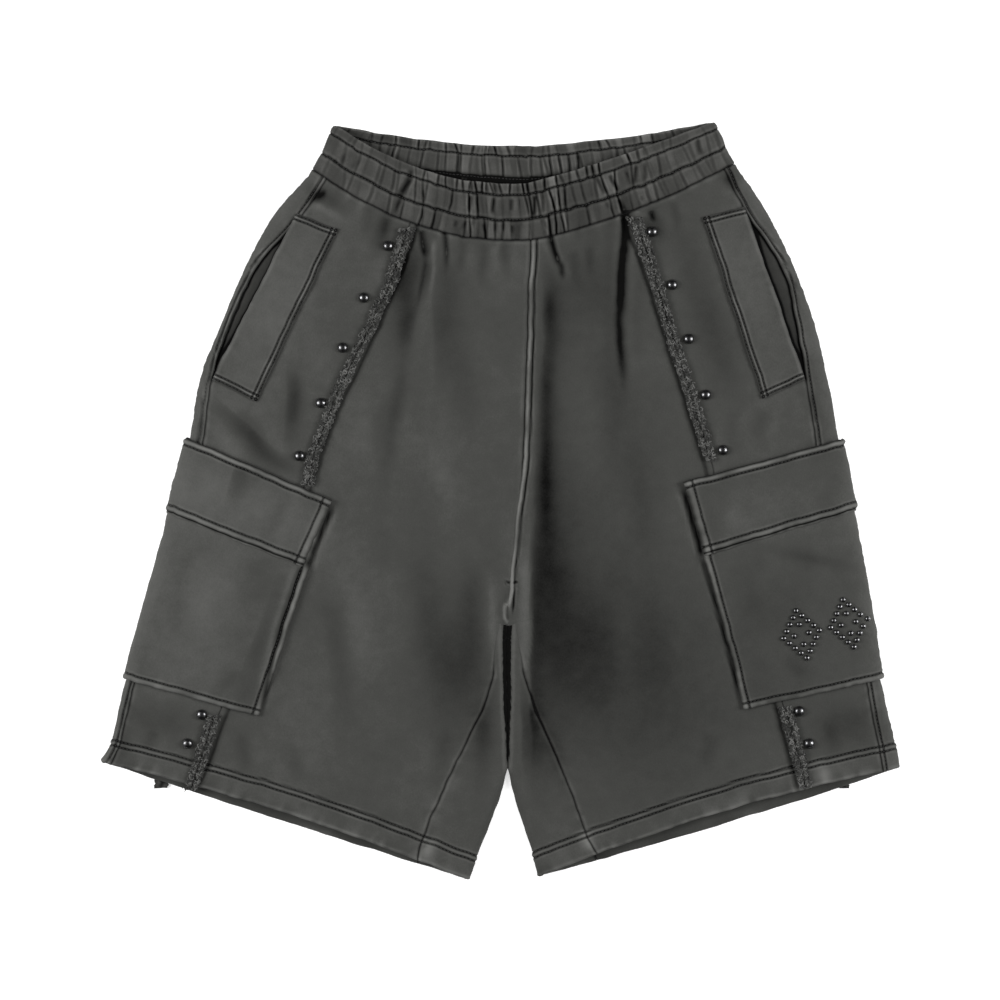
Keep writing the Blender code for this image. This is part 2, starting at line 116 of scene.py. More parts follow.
@dataclass(frozen=True)
class LegRow:
    """One row of a leg, from the outer side fold to the centre seam or the inner leg's edge.

    sag is how far the row's middle hangs below the straight line, back_edge where the back panel ends
    after it has come round the fold, front_edge where the side front starts, raw the seam under the
    raw-edged strip, gusset the width of the inner-leg piece, and back_rise and back_sag are how much
    higher the back's row ends at the centre, and its own sag.
    """

    fold_x: float
    fold_y: float
    inner_x: float
    inner_y: float
    sag: float
    back_edge: float
    front_edge: float
    raw: float
    gusset: float
    back_rise: float
    back_sag: float


# The rows: the band's top, the waist, the hip, three at the side pocket's mouth, the flap's seam, the
# crotch, the thigh, the cargo pocket's foot, the hem's seam and the hem's edge.
RIGHT_ROWS = tuple(LegRow(*row) for row in (
    (-142, 319.5, 21, 268.5, 15.5, 10, 10, 76, 0, 32, 4.5),
    (-160, 280.5, 26, 220, 18.5, 12, 12, 87.5, 0, 34, 4),
    (-191.5, 244, 24, 179.5, 13.5, 18, 18, 108, 0, 24, 4),
    (-215.5, 201.5, 23, 133.5, 11, 9, 19.5, 115, 0, 15, 4),
    (-236.5, 152, 21, 82.5, 8.5, 7, 15.5, 115, 0, 8, 4),
    (-255.5, 103.5, 19, 31.5, 6, 10, 10, 112, 0, 3, 3),
    (-264, 52, 14, -26.5, 1.5, 11.5, 11.5, 104.5, 0, 0, 1.5),
    (-281, -16, 4.5, -107, 0, 12, 12, 103, 5, 0, 0),
    (-299, -84, 4, -171, 0, 11, 11, 93.5, 15.5, 0, 0),
    (-318, -152, 4, -237, 0, 8.5, 8.5, 85, 44, 0, 0),
    (-330, -203, -19, -301, -1.5, 8, 8, 79, 48.5, 0, 0.5),
    (-339.5, -223.5, -27.5, -324, -7, 8, 8, 79, 45, 0, 1),
))

LEFT_ROWS = tuple(LegRow(*row) for row in (
    (182, 322, 21, 268.5, 3.5, 9, 9, 78, 0, 32, 3.5),
    (199.5, 285.5, 26, 220, 7.5, 10, 10, 97, 0, 34, 3),
    (225, 248, 24, 179.5, 7, 15.5, 15.5, 107, 0, 24, 4),
    (248.5, 201.5, 23, 133.5, 6, 9.5, 23, 115, 0, 15, 4),
    (266.5, 152, 21, 82.5, 4, 14.5, 24, 118, 0, 8, 4),
    (278.5, 101, 19, 31.5, 2.5, 18.5, 18.5, 115, 0, 3, 2.5),
    (287, 52, 14, -26.5, 1, 19.5, 19.5, 109, 0, 0, 1),
    (299.5, -16, 7.5, -107, 0, 18, 18, 106, 5, 0, 0),
    (312, -84, 7.5, -171, 0, 16, 16, 95, 18.5, 0, 0),
    (323, -152, 8, -237, 0, 13, 13, 86, 44, 0, 0),
    (335.5, -206.5, 27, -300, -1.5, 15, 15, 84, 48.5, 0, 2.5),
    (339.5, -228.5, 32.5, -321.5, -8.5, 15, 15, 84, 52, 0, 3),
))


def smoothstep(low: float, high: float, value: Array) -> Array:
    """0 up to low, 1 from high on, and an eased ramp between them."""
    share = np.clip((np.asarray(value, float) - low) / (high - low), 0.0, 1.0)
    return share * share * (3.0 - 2.0 * share)


def hump(distance: Array, width: float) -> Array:
    """A soft bump, 1 at no distance and nearly 0 from twice the width on."""
    return np.exp(-np.square(distance / width))


def running(steps: Array, axis: int = 0) -> Array:
    """The running total of steps along an axis, from 0 on."""
    return np.insert(np.cumsum(steps, axis=axis), 0, 0.0, axis=axis)


def unit(vectors: Array) -> Array:
    """The vectors, each made 1 long."""
    return vectors / np.maximum(np.linalg.norm(vectors, axis=-1, keepdims=True), 1e-9)


def tube(rings: int, sides: int) -> Array:
    """The four-sided faces between rings of points, which are numbered round each ring in turn."""
    here = np.arange((rings - 1) * sides).reshape(-1, sides)
    after = np.roll(here, -1, axis=1)
    return np.stack([here, after, after + sides, here + sides], axis=-1).reshape(-1, 4)


def graded(length: float, focus: Iterable[float], fine: float, coarse: float, reach: float) -> Array:
    """Places along a length that lie close together near some of them.

    Args:
        length: the length to divide, in mm.
        focus: where the places are fine mm apart.
        fine: the small step.
        coarse: the step away from any focus.
        reach: how far from a focus the step has grown to the coarse one.

    Returns:
        The places, from 0 to the length.
    """
    samples = np.linspace(0.0, length, max(200, int(length * 5)))
    step = np.full_like(samples, coarse)
    for place in focus:
        near = fine + (coarse - fine) * smoothstep(0.0, reach, np.abs(samples - place))
        step = np.minimum(step, near)
    count = running(np.diff(samples) * 2.0 / (step[1:] + step[:-1]))
    steps = max(2, round(float(count[-1])))
    return np.interp(np.linspace(0.0, count[-1], steps + 1), count, samples)


class Unevenness:
    """Smooth seeded noise, from -1 to 1, for whatever isn't quite regular."""

    CELLS = 256

    def __init__(self, seed: int) -> None:
        """Fills the lattice from the seed."""
        self.lattice = np.random.default_rng(seed).uniform(-1.0, 1.0, (self.CELLS, self.CELLS))

    def at(self, x: Array, y: Array, size_x: float, size_y: Optional[float] = None) -> Array:
        """The noise at points, with features of the given size in mm.

        Args:
            x: the points' first coordinate.
            y: their second one.
            size_x: the size of a feature along x.
            size_y: its size along y, the same if it isn't given.

        Returns:
            One value for each point.
        """
        across, down = np.asarray(x, float) / size_x, np.asarray(y, float) / (size_y or size_x)
        column, row = np.floor(across).astype(int), np.floor(down).astype(int)
        u, v = across - column, down - row
        u, v = u * u * (3 - 2 * u), v * v * (3 - 2 * v)
        last = self.CELLS - 1
        c0, c1, r0, r1 = column & last, (column + 1) & last, row & last, (row + 1) & last
        upper = self.lattice[r0, c0] * (1 - u) + self.lattice[r0, c1] * u
        lower = self.lattice[r1, c0] * (1 - u) + self.lattice[r1, c1] * u
        return upper * (1 - v) + lower * v


class LegPlan:
    """One leg and its half of the seat, as its table of rows describes it.

    A point is named by its row number and its reach, the distance from the side fold along the row,
    above zero on the front and below zero on the back.
    """

    ROWS = np.linspace(BAND_TOP, HEM, 881)     # where the running measures down the leg are taken

    def __init__(self, side: Side, rows: Sequence[LegRow]) -> None:
        """Keeps the table's columns as arrays."""
        self.side = side
        self.turned = side is Side.LEFT
        columns = zip(*(astuple(row) for row in rows))
        self.columns = {part.name: np.array(column, float) for part, column in zip(fields(LegRow), columns)}

    def value(self, column: str, row: Array) -> Array:
        """A column at any row number, on a smooth curve through the table."""
        knots = self.columns[column]
        number = np.asarray(row, float)
        at = np.clip(number.astype(int), 0, len(knots) - 2)
        share = number - at
        before, start = knots[np.maximum(at - 1, 0)], knots[at]
        end, after = knots[at + 1], knots[np.minimum(at + 2, len(knots) - 1)]
        out, back = (end - before) / 2, (after - start) / 2
        bend = 3 * (end - start) - 2 * out - back
        close = 2 * (start - end) + out + back
        return start + share * (out + share * (bend + share * close))

    def ends(self, row: Array, back: bool) -> tuple[Array, Array, Array, Array]:
        """The x and y of the row's fold end, then those of its inner end."""
        inner_y = self.value("inner_y", row)
        if back:
            inner_y = inner_y + self.value("back_rise", row)
        return self.value("fold_x", row), self.value("fold_y", row), self.value("inner_x", row), inner_y

    def length(self, row: Array, back: bool = False) -> Array:
        """The row's length from its fold end to its inner end."""
        fold_x, fold_y, inner_x, inner_y = self.ends(row, back)
        return np.hypot(inner_x - fold_x, inner_y - fold_y)

    def plan(self, row: Array, along: Array, back: bool) -> tuple[Array, Array]:
        """Where a point lies as seen from above."""
        fold_x, fold_y, inner_x, inner_y = self.ends(row, back)
        share = along / np.hypot(inner_x - fold_x, inner_y - fold_y)
        sag = self.value("back_sag" if back else "sag", row)
        return (fold_x + (inner_x - fold_x) * share,
                fold_y + (inner_y - fold_y) * share - 4 * sag * share * (1 - share))

    def between(self, row: Array, along: Array, up: Array, z: Array) -> Array:
        """Points at heights z that go over from the back's place to the front's as up grows to 1."""
        pairs = zip(self.plan(row, along, True), self.plan(row, along, False))
        return np.stack([*(back + (front - back) * up for back, front in pairs), z], axis=-1)

    def raised(self, row: Array, along: Array) -> Array:
        """How far the wrapped pocket, and its flap, lift the cloth off the surface."""
        starts, full, leaves, settles = RAISE_ROWS
        down = smoothstep(starts, full, row)
        foot = (1 - RAISE_AT_HEM) * smoothstep(leaves, settles, row)
        reach = 1 - smoothstep(RAISE_FLAT, RAISE_END, along)
        return 2 * PATCH_LIFT * (down - foot) * reach

    def skin(self, row: Array, reach: Array, lift: Array = 0.0) -> tuple[Array, Array]:
        """Points on the cloth's outer face, round the side fold too.

        Args:
            row: the row numbers.
            reach: the distances from the side fold.
            lift: how far above the outer face.

        Returns:
            The points, and for each 1 where it faces up, 0 where it faces down.
        """
        row, reach, lift = np.broadcast_arrays(*(np.asarray(v, float) for v in (row, reach, lift)))
        depth = np.where(row < WAIST, BAND_FOLD, SIDE_FOLD)
        turn = np.clip(reach / depth, -1.0, 1.0) * math.pi / 2
        along = np.where(np.abs(reach) < depth, depth - (depth + lift) * np.cos(turn), np.abs(reach))
        up = smoothstep(-1.0, 1.0, reach / depth)
        half = stack(row) / 2
        z = self.raised(row, np.abs(reach)) + half + (half + lift) * np.sin(turn)
        return self.between(row, along, up, z), up

    def row_at_fold(self, y: Array | float) -> Array:
        """The row numbers whose side fold lies at these heights."""
        rows = self.ROWS[::2]
        return np.interp(-np.asarray(y), -self.value("fold_y", rows), rows)

    @staticmethod
    def meet(row: Array) -> Array:
        """How far the inner edge bulges towards the other leg, from the seat down the thigh."""
        return np.interp(row, (5, 6, 7, 8.1, 8.35, 8.55, 8.85, 8.97), (0, 2.5, 2.3, 2, 1.2, 0.7, 0.5, 0))

    @staticmethod
    def parting(row: Array) -> Array:
        """How far out from the inner edge the painted black shade of the gap between the legs reaches."""
        return np.interp(row, (7.0, 7.5, 8.0, 8.3, 8.7, 8.95), (1.9, 1.3, 1.0, 0.6, 0.7, -1.4))

    def locate(self, x: Array, y: Array, back: bool = False) -> tuple[Array, Array]:
        """The row numbers and the distances along them of points seen from above."""
        x, y = np.asarray(x, float), np.asarray(y, float)
        row, along, step = self.row_at_fold(y), np.zeros(y.shape), 0.01
        for _ in range(14):
            fold_x, _, inner_x, _ = self.ends(row, back)
            along = self.length(row, back) * (x - fold_x) / (inner_x - fold_x)
            here = self.plan(row, along, back)[1]
            below = self.plan(row + step, along, back)[1]
            row = row + step * (y - here) / (below - here)
        return row, along

    def drop(self, row: Array) -> Array:
        """How far down the leg a row lies from the waist seam, in mm."""
        middle = [self.value(f"fold_{axis}", self.ROWS) + self.value(f"inner_{axis}", self.ROWS) for axis in "xy"]
        run = running(np.hypot(*np.diff(middle, axis=1)) / 2)
        return np.interp(row, self.ROWS, run) - np.interp(WAIST, self.ROWS, run)

    def rows_at(self, drops: Array) -> Array:
        """The row numbers at distances down the leg from the waist seam."""
        return np.interp(drops, self.drop(self.ROWS), self.ROWS)


def stack(row: Array) -> Array:
    """Height of the front's outer face above the back's."""
    band, body = 2 * BAND_WALL + BAND_GAP, 2 * CLOTH + INNER_GAP
    under = (band - body - 1.0) * (1 - smoothstep(0.0, 0.45, np.asarray(row, float) - WAIST))
    return np.where(np.asarray(row) < WAIST, band, body + under)


@dataclass(frozen=True)
class Crease:
    """A soft trough in the cloth, laid from one end to the other. A ridge has a depth below 0.

    bend is how far its middle lies to the left of the straight line, tone is how much painted shade
    darkens its bottom (below 0, a painted highlight pales it), opens and closes are the shares of its
    length over which it grows and dies away, and lean makes the side to its right gentler.
    """

    x0: float
    y0: float
    x1: float
    y1: float
    depth: float
    width: float
    bend: float = 0.0
    tone: float = 0.07
    opens: float = 0.3
    closes: float = 0.5
    lean: float = 0.0

    def press(self, x: Array, y: Array) -> tuple[Array, Array]:
        """How far the crease presses the cloth down at points, and how much it darkens it."""
        run_x, run_y = self.x1 - self.x0, self.y1 - self.y0
        length = math.hypot(run_x, run_y)
        ahead_x, ahead_y = run_x / length, run_y / length
        share = ((x - self.x0) * ahead_x + (y - self.y0) * ahead_y) / length
        across = (y - self.y0) * ahead_x - (x - self.x0) * ahead_y - 4 * self.bend * share * (1 - share)
        fade = smoothstep(0.0, self.opens, share) * (1 - smoothstep(1 - self.closes, 1.0, share))
        width = self.width * (1 - 0.55 * self.lean * np.sign(across))
        trough = np.exp(-np.square(across / width))
        shoulder = np.exp(-np.square((np.abs(across) - 2.2 * width) / (1.3 * width)))
        # Painted shade darkens the trough, and a painted highlight pales its shoulders.
        return self.depth * fade * (trough - 0.28 * shoulder), self.tone * fade * (trough - 0.20 * shoulder)

    def touches(self, low: Array, high: Array) -> bool:
        """Whether the crease comes near the box between two corners."""
        room = 4.5 * self.width + abs(self.bend)
        near_x = min(self.x0, self.x1) - room < high[0] and max(self.x0, self.x1) + room > low[0]
        return near_x and min(self.y0, self.y1) - room < high[1] and max(self.y0, self.y1) + room > low[1]


@dataclass(frozen=True)
class ToneMark:
    """A soft patch painted darker (tone below 0) or paler: painted shade beside folds, seams and edges, and uneven
    tone elsewhere.

    Where edge isn't 0, the patch ends sharply that far to the left of its middle line (to the right below 0).
    """

    x: float
    y: float
    radius_x: float
    radius_y: float
    tone: float
    turn: float = 90.0
    edge: float = 0.0

    def shade(self, x: Array, y: Array) -> Array:
        """The patch's tone at points."""
        turn = math.radians(self.turn)
        ahead = (x - self.x) * math.cos(turn) + (y - self.y) * math.sin(turn)
        aside = (y - self.y) * math.cos(turn) - (x - self.x) * math.sin(turn)
        kept = 1.0
        if self.edge:
            wander = 0.8 * np.sin(ahead / 17.0 + self.x) + 0.5 * np.sin(ahead / 7.3 + self.y)
            kept = smoothstep(-1.6, 1.2, (self.edge + wander - aside) * math.copysign(1.0, self.edge))
        return kept * self.tone * np.exp(-np.square(ahead / self.radius_x) - np.square(aside / self.radius_y))


class CreaseMap:
    """All the creases and tone marks of one face of the shorts, the front or the back."""

    def __init__(self, creases: Sequence[Crease], marks: Sequence[ToneMark], seed: int) -> None:
        """Keeps the tables and the seeded unevenness."""
        self.creases = creases
        self.marks = marks
        self.noise = Unevenness(seed)

    def lay(self, x: Array, y: Array) -> tuple[Array, Array]:
        """The cloth's height off its even form, and its tone, at points seen from above."""
        height = 0.55 * self.noise.at(x, y, 62.0, 80.0) + 0.22 * self.noise.at(x, y, 21.0, 30.0)
        height = height + 0.06 * self.noise.at(x + 31, y, 8.0, 10.0)
        tone = 0.025 * self.noise.at(x, y + 97, 55.0, 75.0) + 0.018 * self.noise.at(x, y, 17.0, 24.0)
        low, high = (x.min(), y.min()), (x.max(), y.max())
        # The creases lay painted shade in their troughs, and the marks add their darker and paler patches.
        for crease in self.creases:
            if crease.touches(low, high):
                sunk, darker = crease.press(x, y)
                height = height - sunk
                tone = tone - darker
        for mark in self.marks:
            tone = tone + mark.shade(x, y)
        return height, tone


def off_floor(points: Array) -> Array:
    """The points, none of them lower than just over the floor."""
    return np.concatenate([points[..., :2], np.maximum(points[..., 2:], FLOOR_CLEAR)], axis=-1)


def grid_normals(points: Array, turned: bool, ring: bool = False) -> Array:
    """Unit normals of a grid of points, out of its outer face.

    Args:
        points: rows by columns by 3.
        turned: whether the columns run from the wearer's left to right on what faces up.
        ring: whether the last column joins the first.

    Returns:
        Rows by columns by 3.
    """
    if ring:
        across = np.roll(points, -1, axis=1) - np.roll(points, 1, axis=1)
    else:
        across = np.gradient(points, axis=1)
    normal = unit(np.cross(np.gradient(points, axis=0), across))
    return -normal if turned else normal


def trace(points: Array, measure: Array, value: float, axis: int) -> Array:
    """The line on a grid where a measure that grows along an axis has a value, one point a line."""
    grid, scale = (points, measure) if axis == 1 else (points.transpose(1, 0, 2), measure.T)
    line = np.empty((len(grid), grid.shape[-1]))
    for number, (run, marks) in enumerate(zip(grid, scale)):
        for part in range(grid.shape[-1]):
            line[number, part] = np.interp(value, marks, run[:, part])
    return line


class MeshParts:
    """Points and faces that are gathered up to become one mesh."""

    def __init__(self) -> None:
        """Starts with nothing."""
        self.points: list[Array] = []
        self.tones: list[Array] = []
        self.faces: list[Array] = []
        self.count = 0

    def add(self, points: Array, faces: Iterable[Array], tone: Array | float = 0.0) -> None:
        """Adds points, with their tone, and faces that number these points from 0."""
        flat = np.asarray(points, float).reshape(-1, 3)
        self.points.append(flat)
        self.tones.append(np.broadcast_to(np.asarray(tone, float).reshape(-1), (len(flat),)))
        self.faces.extend(np.asarray(block, int) + self.count for block in faces if len(block))
        self.count += len(flat)

    def build(self, name: str, material: Material) -> bpy.types.Object:
        """Makes the object.

        Args:
            name: the piece's name.
            material: its finish.

        Returns:
            The new object, smooth shaded, in the scene.
        """
        mesh = bpy.data.meshes.new(name)
        points, tones = np.concatenate(self.points) + ORIGIN, np.concatenate(self.tones)
        points[:, 2] = np.maximum(points[:, 2], 0.0)
        corners = np.concatenate([block.reshape(-1) for block in self.faces])
        sizes = np.concatenate([np.full(len(block), block.shape[1]) for block in self.faces])
        starts = np.concatenate([[0], np.cumsum(sizes)[:-1]])
        mesh.vertices.add(len(points))
        mesh.vertices.foreach_set("co", (points * MM).astype(np.float32).ravel())
        mesh.loops.add(len(corners))
        mesh.loops.foreach_set("vertex_index", corners.astype(np.int32))
        mesh.polygons.add(len(sizes))
        mesh.polygons.foreach_set("loop_start", starts.astype(np.int32))
        mesh.update(calc_edges=True)
        mesh.validate()
        mesh.shade_smooth()
        attribute = mesh.attributes.new("tone", "FLOAT", "POINT")
        attribute.data.foreach_set("value", tones.astype(np.float32))
        mesh.materials.append(material)
        return in_scene(name, mesh)


def in_scene(name: str, data: bpy.types.ID) -> bpy.types.Object:
    """A new object in the scene, made of this data."""
    obj = bpy.data.objects.new(name, data)
    bpy.context.scene.collection.objects.link(obj)
    return obj


def zip_runs(first: Array, first_at: Array, second: Array, second_at: Array) -> list[tuple[int, int, int]]:
    """Triangles between two runs of points that start and end side by side.

    Args:
        first: the first run's point numbers.
        first_at: where each lies along the run.
        second: the second run's point numbers.
        second_at: where each of those lies.

    Returns:
        The triangles, each as three point numbers.
    """
    made = []
    i = j = 0
    while i < len(first) - 1 or j < len(second) - 1:
        if j == len(second) - 1 or (i < len(first) - 1 and first_at[i + 1] <= second_at[j + 1]):
            made.append((first[i], first[i + 1], second[j]))
            i += 1
        else:
            made.append((first[i], second[j + 1], second[j]))
            j += 1
    return made


@dataclass
class Shell:
    """A closed wall of cloth round the grid of its outer face.

    edge is each point's distance from the nearest edge, where the wall rounds off, ring says that the
    columns close to a ring, coarse is how many steps of the outer face one step of the hidden inner face
    takes, and lining_tone is the painted shade added to the inner face's tone (below 0 makes it darker).
    """

    points: Array
    normals: Array
    wall: Array | float
    edge: Array
    turned: bool
    ring: bool = False
    coarse: int = 4
    lining_tone: Array | float = -0.16

    def faces_of(self) -> tuple[Array, Array]:
        """The outer and the inner face's points. They meet at the edges."""
        wall = self.wall + 0 * self.edge
        share = np.clip(self.edge / np.maximum(wall * 0.55, 0.6), 0.0, 1.0)
        half = self.normals * (wall / 2 * np.sqrt(1 - np.square(1 - share)))[..., None]
        middle = self.points - self.normals * wall[..., None] / 2
        return middle + half, middle - half

    def add_to(self, parts: MeshParts, tone: Array) -> Array:
        """Adds the shell to a mesh.

        Args:
            parts: the mesh that it becomes part of.
            tone: each grid point's tone.

        Returns:
            The outer face's points.
        """
        outer, inner = self.faces_of()
        rows, columns = outer.shape[:2]
        if self.ring:
            down, across = np.arange(1, rows - 1), np.arange(columns)
        else:
            down, across = self.picked(rows), self.picked(columns)
        kept = np.ix_(down, across)
        number = np.arange(rows * columns).reshape(rows, columns)
        lining = rows * columns + np.arange(len(down) * len(across)).reshape(len(down), len(across))
        if self.ring:
            rims = []
            lining = np.concatenate([number[:1], lining, number[-1:]])
        else:
            rims = [self.rim(number, lining, down, across)]
        blocks = [self.quads(number), self.quads(lining)[:, ::-1], *rims]
        if self.turned:
            blocks = [block[:, ::-1] for block in blocks]
        points = np.concatenate([outer.reshape(-1, 3), inner[kept].reshape(-1, 3)])
        # The inner face gets painted shade on top of the outer face's tone.
        parts.add(points, blocks, np.concatenate([tone.ravel(), (tone + self.lining_tone)[kept].ravel()]))
        return outer

    def picked(self, count: int) -> Array:
        """Which of so many grid lines the inner face keeps. None of them is an edge."""
        steps = max(1, round((count - 3) / self.coarse))
        return np.unique(np.round(np.linspace(1, count - 2, steps + 1)).astype(int))

    def quads(self, number: Array) -> Array:
        """The grid's four-sided faces."""
        if self.ring:
            number = np.concatenate([number, number[:, :1]], axis=1)
        corners = (number[:-1, :-1], number[1:, :-1], number[1:, 1:], number[:-1, 1:])
        return np.stack([corner.reshape(-1) for corner in corners], axis=1)

    def rim(self, number: Array, lining: Array, down: Array, across: Array) -> Array:
        """The triangles between the outer face's edges and the inner face's outermost lines."""
        last_row, last_column = number.shape[0] - 1, number.shape[1] - 1
        rows, columns = np.arange(last_row + 1), np.arange(last_column + 1)
        made = zip_runs(number[0], columns, lining[0], across)
        made += zip_runs(number[:, -1], rows, lining[:, -1], down)
        made += zip_runs(number[-1, ::-1], columns, lining[-1, ::-1], (last_column - across)[::-1])
        made += zip_runs(number[::-1, 0], rows, lining[::-1, 0], (last_row - down)[::-1])
        return np.array(made)


@dataclass(frozen=True)
class Stitching:
    """The thread that shows in a row of stitches."""

    pitch: float = 3.3
    length: float = 2.5
    radius: float = 0.27
    rise: float = 0.20

    RINGS = (-1.0, -0.62, 0.0, 0.62, 1.0)
    GIRTHS = (0.25, 0.85, 1.0, 0.85, 0.25)
    SIDES = 4

    def sew(self, parts: MeshParts, line: Array, normals: Array) -> None:
        """Lays stitches along a line on the cloth.

        Args:
            parts: the mesh that they become part of.
            line: points along the row.
            normals: the cloth's normals there.
        """
        run = running(np.linalg.norm(np.diff(line, axis=0), axis=1))
        count = int(run[-1] / self.pitch)
        if count < 1:
            return
        centres = (np.arange(count) + 0.5) * run[-1] / count
        before, middle, after = (self.read(line, run, centres + shift * self.length / 2) for shift in (-1, 0, 1))
        ahead = unit(after - before)
        aside = unit(np.cross(self.read(normals, run, centres), ahead))
        up = np.cross(ahead, aside)
        rings = []
        for place, girth in zip(self.RINGS, self.GIRTHS):
            centre = middle + ahead * (place * self.length / 2) + up * (self.rise - 0.28 * place * place)
            for turn in np.arange(self.SIDES) * 2 * math.pi / self.SIDES:
                rings.append(centre + (aside * math.cos(turn) + up * math.sin(turn)) * self.radius * girth)
        first = np.arange(self.SIDES)
        ends = len(self.RINGS) * self.SIDES
        faces = np.concatenate([tube(len(self.RINGS), self.SIDES), [first[::-1], first + ends - self.SIDES]])
        parts.add(np.stack(rings, axis=1),
                  [(faces[None] + (np.arange(count) * ends)[:, None, None]).reshape(-1, self.SIDES)])

    @staticmethod
    def read(values: Array, run: Array, at: Array) -> Array:
        """The values at distances along the line."""
        return np.stack([np.interp(at, run, values[:, part]) for part in range(3)], axis=1)


class ShaderTree:
    """A material's nodes, added with few words."""

    def __init__(self, name: str) -> None:
        """Makes a material with one Principled shader."""
        self.material = bpy.data.materials.new(name)
        self.material.use_nodes = True
        self.tree = self.material.node_tree
        self.shader = self.tree.nodes["Principled BSDF"]
        self.place = self.add("ShaderNodeTexCoord").outputs["Object"]

    def add(self, kind: str, **settings: object) -> bpy.types.Node:
        """Adds a node and sets its own settings."""
        node = self.tree.nodes.new(kind)
        for name, value in settings.items():
            setattr(node, name, value)
        return node

    def join(self, source: Socket, node: bpy.types.Node, socket: str | int) -> None:
        """Links an output to a node's input."""
        self.tree.links.new(source, node.inputs[socket])

    def fill(self, node: bpy.types.Node, values: dict[str, object]) -> bpy.types.Node:
        """Sets the values that stand on a node's own sockets."""
        for socket, value in values.items():
            node.inputs[socket].default_value = value
        return node

    def noise(self, size: float, detail: float = 3.0, rough: float = 0.55,
              stretch: tuple[float, float, float] = (1.0, 1.0, 1.0)) -> Socket:
        """Noise whose features are about size mm across.

        Args:
            size: the size of a feature in mm.
            detail: how many finer layers lie on it.
            rough: how strong those are.
            stretch: how many times finer it is along each axis.

        Returns:
            The output, about 0 to 1.
        """
        mapping = self.fill(self.add("ShaderNodeMapping"), {"Scale": stretch})
        self.join(self.place, mapping, "Vector")
        node = self.fill(self.add("ShaderNodeTexNoise"),
                         {"Scale": 1.0 / (size * MM), "Detail": detail, "Roughness": rough})
        self.join(mapping.outputs["Vector"], node, "Vector")
        return node.outputs["Fac"]

    def math(self, operation: str, first: Socket | float, second: Socket | float, third: Socket | float) -> Socket:
        """The result of a Math node on sockets or numbers."""
        node = self.add("ShaderNodeMath", operation=operation)
        for number, value in enumerate((first, second, third)):
            if isinstance(value, Socket):
                self.join(value, node, number)
            else:
                node.inputs[number].default_value = value
        return node.outputs[0]

    def ramp(self, value: Socket, stops: Sequence[tuple[float, tuple[float, float, float]]]) -> Socket:
        """A colour between the stops, each a place from 0 to 1 with its colour."""
        node = self.add("ShaderNodeValToRGB")
        elements = node.color_ramp.elements
        while len(elements) < len(stops):
            elements.new(0.5)
        for element, (place, colour) in zip(elements, stops):
            element.position = place
            element.color = (*colour, 1.0)
        self.join(value, node, "Fac")
        return node.outputs["Color"]

    def bump(self, height: Socket, distance: float) -> None:
        """Roughs up the surface by up to distance mm, over any bump given before."""
        node = self.fill(self.add("ShaderNodeBump"), {"Strength": 1.0, "Distance": distance * MM})
        self.join(height, node, "Height")
        before = self.shader.inputs["Normal"]
        if before.is_linked:
            self.join(before.links[0].from_socket, node, "Normal")
        self.join(node.outputs["Normal"], self.shader, "Normal")


@dataclass(frozen=True)
class ClothFinish:
    """Garment-washed cloth: a worn charcoal dye over a fine jersey face.

    deep, body and worn are the colours from the deepest dye and painted shade to the palest wear and
    painted highlights, mottle and grain how much the tone varies over centimetres and over millimetres,
    and nap and pile how far the surface stands out.
    """

    name: str
    deep: tuple[float, float, float]
    body: tuple[float, float, float]
    worn: tuple[float, float, float]
    mottle: float = 0.13
    grain: float = 0.20
    nap: float = 0.10
    pile: float = 0.16
    sheen: float = 0.03

    def material(self) -> Material:
        """Builds the finish."""
        tree = ShaderTree(self.name)
        # The tone attribute carries painted shade and painted highlights, as well as wear and uneven dye.
        tone = tree.add("ShaderNodeAttribute", attribute_name="tone").outputs["Fac"]
        cloudy = tree.noise(70.0, 3.0)
        patchy = tree.noise(11.0, 4.0, 0.6)
        speckle = tree.noise(1.5, 3.0, 0.65)
        wales = tree.noise(1.1, 2.0, 0.5, (1.9, 0.55, 1.0))
        total = 0.5 - self.mottle - self.grain / 2
        for layer, share in ((tone, 1.0), (cloudy, self.mottle), (patchy, self.mottle),
                             (speckle, self.grain * 0.6), (wales, self.grain * 0.4)):
            total = tree.math("MULTIPLY_ADD", layer, share, total)
        tree.join(tree.ramp(total, ((0.0, self.deep), (0.5, self.body), (1.0, self.worn))), tree.shader, "Base Color")
        tree.fill(tree.shader, {"Roughness": 0.93, "Specular IOR Level": 0.08, "Sheen Weight": self.sheen,
                                "Sheen Roughness": 0.55})
        tree.bump(tree.noise(3.2, 3.0, 0.6), self.nap * 2.2)
        tree.bump(wales, self.nap)
        tree.bump(tree.noise(0.55, 2.0, 0.6), self.pile * 0.5)
        return tree.material


@dataclass(frozen=True)
class ThreadFinish:
    """Matt sewing thread, with the twist of its plies."""

    name: str
    colour: tuple[float, float, float]
    paler: tuple[float, float, float]

    def material(self) -> Material:
        """Builds the finish."""
        tree = ShaderTree(self.name)
        twist = tree.noise(0.4, 1.0, 0.5)
        tree.join(tree.ramp(twist, ((0.3, self.colour), (0.75, self.paler))), tree.shader, "Base Color")
        tree.fill(tree.shader, {"Roughness": 0.7, "Sheen Weight": 0.1})
        tree.bump(twist, 0.08)
        return tree.material


@dataclass(frozen=True)
class MetalFinish:
    """Polished dark plating with fine handling marks."""

    name: str
    colour: tuple[float, float, float]
    tarnish: tuple[float, float, float]
    roughness: float

    def material(self) -> Material:
        """Builds the finish."""
        tree = ShaderTree(self.name)
        clouds = tree.noise(2.5, 3.0, 0.6)
        tree.join(tree.ramp(clouds, ((0.35, self.tarnish), (0.6, self.colour))), tree.shader, "Base Color")
        tree.fill(tree.shader, {"Metallic": 1.0})
        marks = tree.noise(0.9, 4.0, 0.7)
        tree.join(tree.math("MULTIPLY_ADD", marks, 0.16, self.roughness - 0.08), tree.shader, "Roughness")
        tree.bump(marks, 0.01)
        return tree.material


